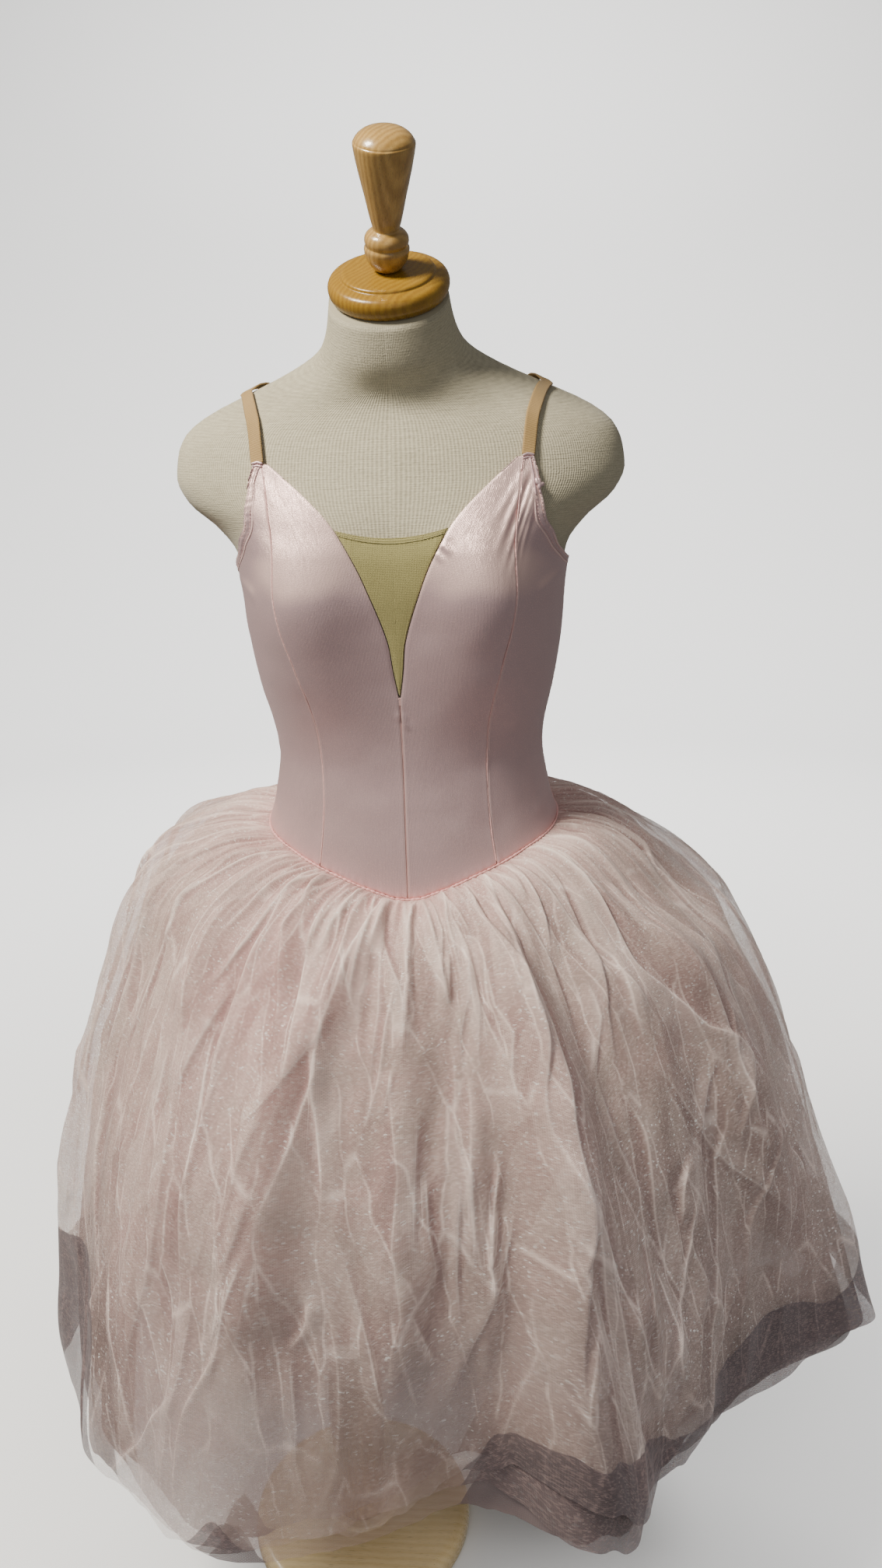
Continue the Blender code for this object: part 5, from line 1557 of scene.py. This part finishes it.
tulle = {
    "pitch": 0.0022,                    # from one mesh of the net to the next
    "slant": 1.50,                      # of the net's two sets of threads
    "speckle": 560.0,                   # glitter grains in a metre
    "rare": 0.915,                      # how rare the brightest grains are
    "large": (0.024, 0.150, 0.10), "small": (0.011, 0.065, -0.20),      # creased cells: width, height, lean
    "creaseWidth": 0.0012,
    # lit is the colour of painted highlights and of lighter cells and grains; deep also of painted shade
    # and shadow lines; low also of the patch of painted shade; dusk of the painted dark margin
    "pale": (0.498, 0.343, 0.307), "pink": (0.720, 0.400, 0.375), "deep": (0.410, 0.235, 0.225),
    "low": (0.260, 0.195, 0.175),
    "lit": (0.850, 0.705, 0.638), "white": (1.0, 0.98, 0.95), "dusk": (0.090, 0.066, 0.072),
    "shadowAt": 3.2, "shadowWidth": 1.9,    # the dark line beside a folded edge, in millimetres
    "lowFrom": 0.40,                    # where it starts to look duskier
    "seamReach": 0.26,                  # length over which the cloth is pinker and denser
    "thinFrom": 0.60,                   # where the cloth starts to thin out
    "edgeLine": 1.0,                    # half width of a folded edge's pale line, in millimetres
}
tulleLayers = {
    # how dense the net is, what share of that is left at the hem and what its painted dark margin
    # adds; its own tint, how much of that shows and how far it is turned; and how fine it is made: 1 for
    # the glitter and the large creases, 2 for the small creases as well
    "top": {"density": 0.58, "thinTo": 0.66, "marginDensity": 0.42, "dusk": 0.95,
            "tint": (0.600, 0.540, 0.460), "share": 0.45, "turn": 0.00, "fine": 2},
    "second": {"density": 0.66, "thinTo": 0.60, "marginDensity": 0.44, "dusk": 0.85,
               "tint": (0.680, 0.420, 0.390), "share": 0.50, "turn": 0.05, "fine": 1},
    "third": {"density": 0.80, "thinTo": 0.62, "marginDensity": 0.46, "dusk": 0.80,
              "tint": (0.640, 0.410, 0.380), "share": 0.50, "turn": -0.06, "fine": 0},
    "under": {"density": 0.92, "thinTo": 0.62, "marginDensity": 0.46, "dusk": 0.80,
              "tint": (0.460, 0.300, 0.290), "share": 0.60, "turn": 0.10, "fine": 0},
}


def crinkled(uv, push, wide, tall, lean):
    # Crossing creases: the edges of long leaning cells, pushed about by noise. Returns where on
    # the cells a point lies, and a random tone that each cell has to itself.
    moved = uv.vectorMaths("ADD", push.vectorMaths("MULTIPLY", (0.8 * wide, 0.3 * tall, 0)))
    place = stretched(stretched(moved, turn=(0, 0, lean)), (1 / wide, 1 / tall, 1))
    return place, cellsOf(place, 1.0).split("ShaderNodeSeparateColor")[0]


def tulleMaterial(layer):
    # A regular net of two slanting sets of threads, each the crest of a sine, seen as a
    # see-through share of the surface. It is denser near the seam, in the bands of folds and on
    # crests; pinker near the seam; painted darker as shade beside folds and between gathers; painted
    # lighter as highlights along folded edges, on crests and over the bands of folds, where the net
    # also lies double, with a painted shadow line beside each folded edge, both bells of the distance
    # to the edge; crossed by fine creases, painted lighter and denser; duskier towards the hem, with
    # a patch of painted shade at one side, and darkest in a painted dark margin along the hem; and
    # speckled all over, its glitter flecks painted white as glints.
    own = tulleLayers[layer]
    tree, shader, material = newMaterial(f"tulle{layer.capitalize()}", {
        "Roughness": 0.55, "Sheen Weight": 0.25, "Sheen Roughness": 0.4,
        "Sheen Tint": (1.0, 0.93, 0.92, 1.0), "Specular IOR Level": 0.3})
    uv = placeOf(tree)
    up = uv.split()[1]
    turned = stretched(uv, turn=(0, 0, own["turn"]))
    across, along, _ = turned.split()
    threads = [(across.maths(operation, along * tulle["slant"]) * (2 * math.pi / tulle["pitch"]))
               .maths("SINE").remap(0.30, 0.85) for operation in ("ADD", "SUBTRACT")]
    cloud = noiseOf(uv, 20.0, 4.0, 0.60)
    patches = noiseOf(uv, 13.0)

    # speckle: each tiny cell has its own brightness, and the brightest are glitter flecks in patches,
    # painted white as glints
    crease, sparkle, tone, grain = None, None, cloud, cloud
    if own["fine"] > 0:
        cells = cellsOf(stretched(turned, (1.0, 1.35, 1)), tulle["speckle"])
        grain, chance, _ = cells.split("ShaderNodeSeparateColor")
        sparkle = chance.remap(tulle["rare"], 1.0) * patches.remap(0.35, 0.65, 0.25, 1.0)
        push = noiseOf(uv, 13.0, output="Color").vectorMaths("SUBTRACT", (0.5, 0.5, 0.5))
        place, tone = crinkled(uv, push, *tulle["large"])
    if own["fine"] > 1:
        edges = cellsOf(place, 1.0, "DISTANCE_TO_EDGE", "Distance")
        near = edges.remap(0.0, tulle["creaseWidth"] / tulle["large"][0], 1.0, 0.0)
        crease = near * cloud.remap(0.40, 0.56)
        tone = tone * 0.55 + crinkled(uv, push, *tulle["small"])[1] * 0.45

    edge, power, band, shade, crest, sheer, rosy, paintedShadeAndGrey, aboveHem = (
        markOf(tree, name) for name in ("edge", "power", "band", "shade", "crest", "sheer", "rosy",
                                        "paintedShadeAndGrey", "aboveHem"))
    # painted highlight: a pale line along each folded edge, where the net also lies double
    line = edge.maths("DIVIDE", tulle["edgeLine"]).bell() * power * patches.remap(0.35, 0.60, 0.45, 1.0)
    # painted shadow: a dark line just beyond each folded edge
    beside = (edge - tulle["shadowAt"]).maths("DIVIDE", tulle["shadowWidth"]).bell() * power
    blush = up.remap(0.0, tulle["seamReach"] * skirt["long"], 1.0, 0.0).maths("POWER", 1.6)
    # painted shade between the gathers near the seam, where the crests are low
    hollow = crest.remap(0.0, 0.5, 1.0, 0.0) * blush
    lower = up.remap(tulle["lowFrom"] * skirt["long"], skirt["long"], 0.0, 0.55)
    # painted highlight: the folded edges, the crests of gathers, the creases and the bands of folds are
    # made lighter
    lit = line * 0.80 + crest * 0.36
    if crease:
        lit = lit + crease * 0.46
    lit = lit.maths("ADD", band * 0.25, True)

    # the colour, each tint mixed over those before it: pinker near the seam and in patches, random darker
    # cells, painted shade beside folds and between gathers, a painted shadow line, random lighter cells,
    # darker towards the hem with a patch of painted shade, painted highlights, and paler grains
    base = tuple(own["share"] * a + (1 - own["share"]) * b for a, b in zip(own["tint"], tulle["pale"]))
    colour = cloud.remap(0.35, 0.7, 0.0, 0.40).mix(base, tulle["pink"])
    for amount, tint in (((blush * 0.60).maths("ADD", rosy * 0.60, True), "pink"),
                         (tone.remap(0.20, 0.55, 0.20, 0.0), "deep"),
                         ((shade * 0.62).maths("MAXIMUM", hollow * 0.55), "deep"),
                         (beside * 0.55, "deep"),
                         (tone.remap(0.45, 0.85, 0.0, 0.26), "lit"),
                         (lower.maths("ADD", paintedShadeAndGrey, True), "low"),
                         (lit, "lit"),
                         (grain.remap(0.55, 1.0, 0.0, 0.22), "lit")):
        colour = amount.mix(colour, tulle[tint])
    # glitter flecks, painted white as glints
    if sparkle:
        colour = (sparkle * 0.85).mix(colour, tulle["white"])
    # painted dark margin: along the hem the cloth turns dark and dense, standing in for the dark
    # surroundings seen through the sheer net
    margin = aboveHem.remap(-1.6, -0.4, 1.0, 0.0)
    dusk = (lit * 0.3 + grain.remap(0.5, 1.0, 0.0, 0.25)).mix(tulle["dusk"], tulle["pale"])
    feed(shader, "Base Color", (margin * own["dusk"]).mix(colour, dusk))

    # how much of the cloth there is: between the threads it is thinner
    density = blush * 0.30 + own["density"]
    for mark, amount in ((line, 0.34), (band, 0.14), (crest, 0.16), (shade, -0.04), (crease, 0.26),
                         (paintedShadeAndGrey, 0.30)):
        if mark:
            density = density + mark * amount
    density = density + cloud.remap(0.25, 0.75, -0.07, 0.07)
    density = density + tone.remap(0.15, 0.85, -0.07, 0.07)
    density = density + grain.remap(0.0, 1.0, -0.09, 0.09)
    density = density * up.remap(tulle["thinFrom"] * skirt["long"], skirt["long"], 1.0, own["thinTo"])
    density = density * sheer.remap(0.0, 1.0, 1.0, 0.58) + margin * own["marginDensity"]
    alpha = density * (threads[0].maths("MAXIMUM", threads[1]) * 0.44 + 0.76)
    if sparkle:
        alpha = alpha.maths("MAXIMUM", sparkle * sheer.remap(0.0, 1.0, 0.75, 0.10))
    feed(shader, "Alpha", alpha.maths("MAXIMUM", 0.06).maths("MINIMUM", 1.0))
    return material


def makeSkirt():
    # Each layer is a front and a back width, seamed at the sides.
    wild = wildFoldSet()
    onFront = [fold for fold in wild if abs(fold[0][0][1]) < wildFolds["frontWithin"]]
    elsewhere = [fold for fold in wild if abs(fold[0][0][1]) >= wildFolds["frontWithin"]]
    front = [(path, side, wide, wildFolds["rise"] * rise, wildFolds["strength"] * strength)
             for path, side, wide, rise, strength in frontFolds]
    folds = {"top": front + elsewhere + onFront, "second": wild[::2],
             "third": wild[::5], "under": wild[1::5]}
    for layer, own in skirtLayers.items():
        material = tulleMaterial(layer)
        halves = zip(("front", "back"), (0.0, math.pi), own["columns"])
        for width, middle, columns in halves:
            angle = middle + np.linspace(-math.pi / 2, math.pi / 2, columns + 1)
            length = np.linspace(0, 1, own["rows"] + 1) ** skirt["rowPower"]
            points, marks = skirtSheet(angle[None, :], length[:, None], layer, folds[layer])
            aside = seamGap / 2 * np.array([0, -1 if width == "front" else 1, 0])
            points[:, 0] += aside
            points[:, -1] += aside
            uv = np.stack(np.broadcast_arrays(angle[None, :] * skirt["around"],
                                              length[:, None] * skirt["long"]), -1)
            name = f"skirt{layer.capitalize()}{width.capitalize()}"
            sheet = gridPiece(name, points, material, uv, flip=True, marks=marks)
            finishPiece(sheet, "tulle", f"skirt_{layer}_{width}")
        print("skirt layer made:", layer)


makeCamera()
makeStudio()
print("camera and studio placed")
makeJersey()
makeStand()
print("form and stand made")
makeBodice()
makeInsert()
makeStraps()
makeTacks()
print("bodice made")
makeSkirt()
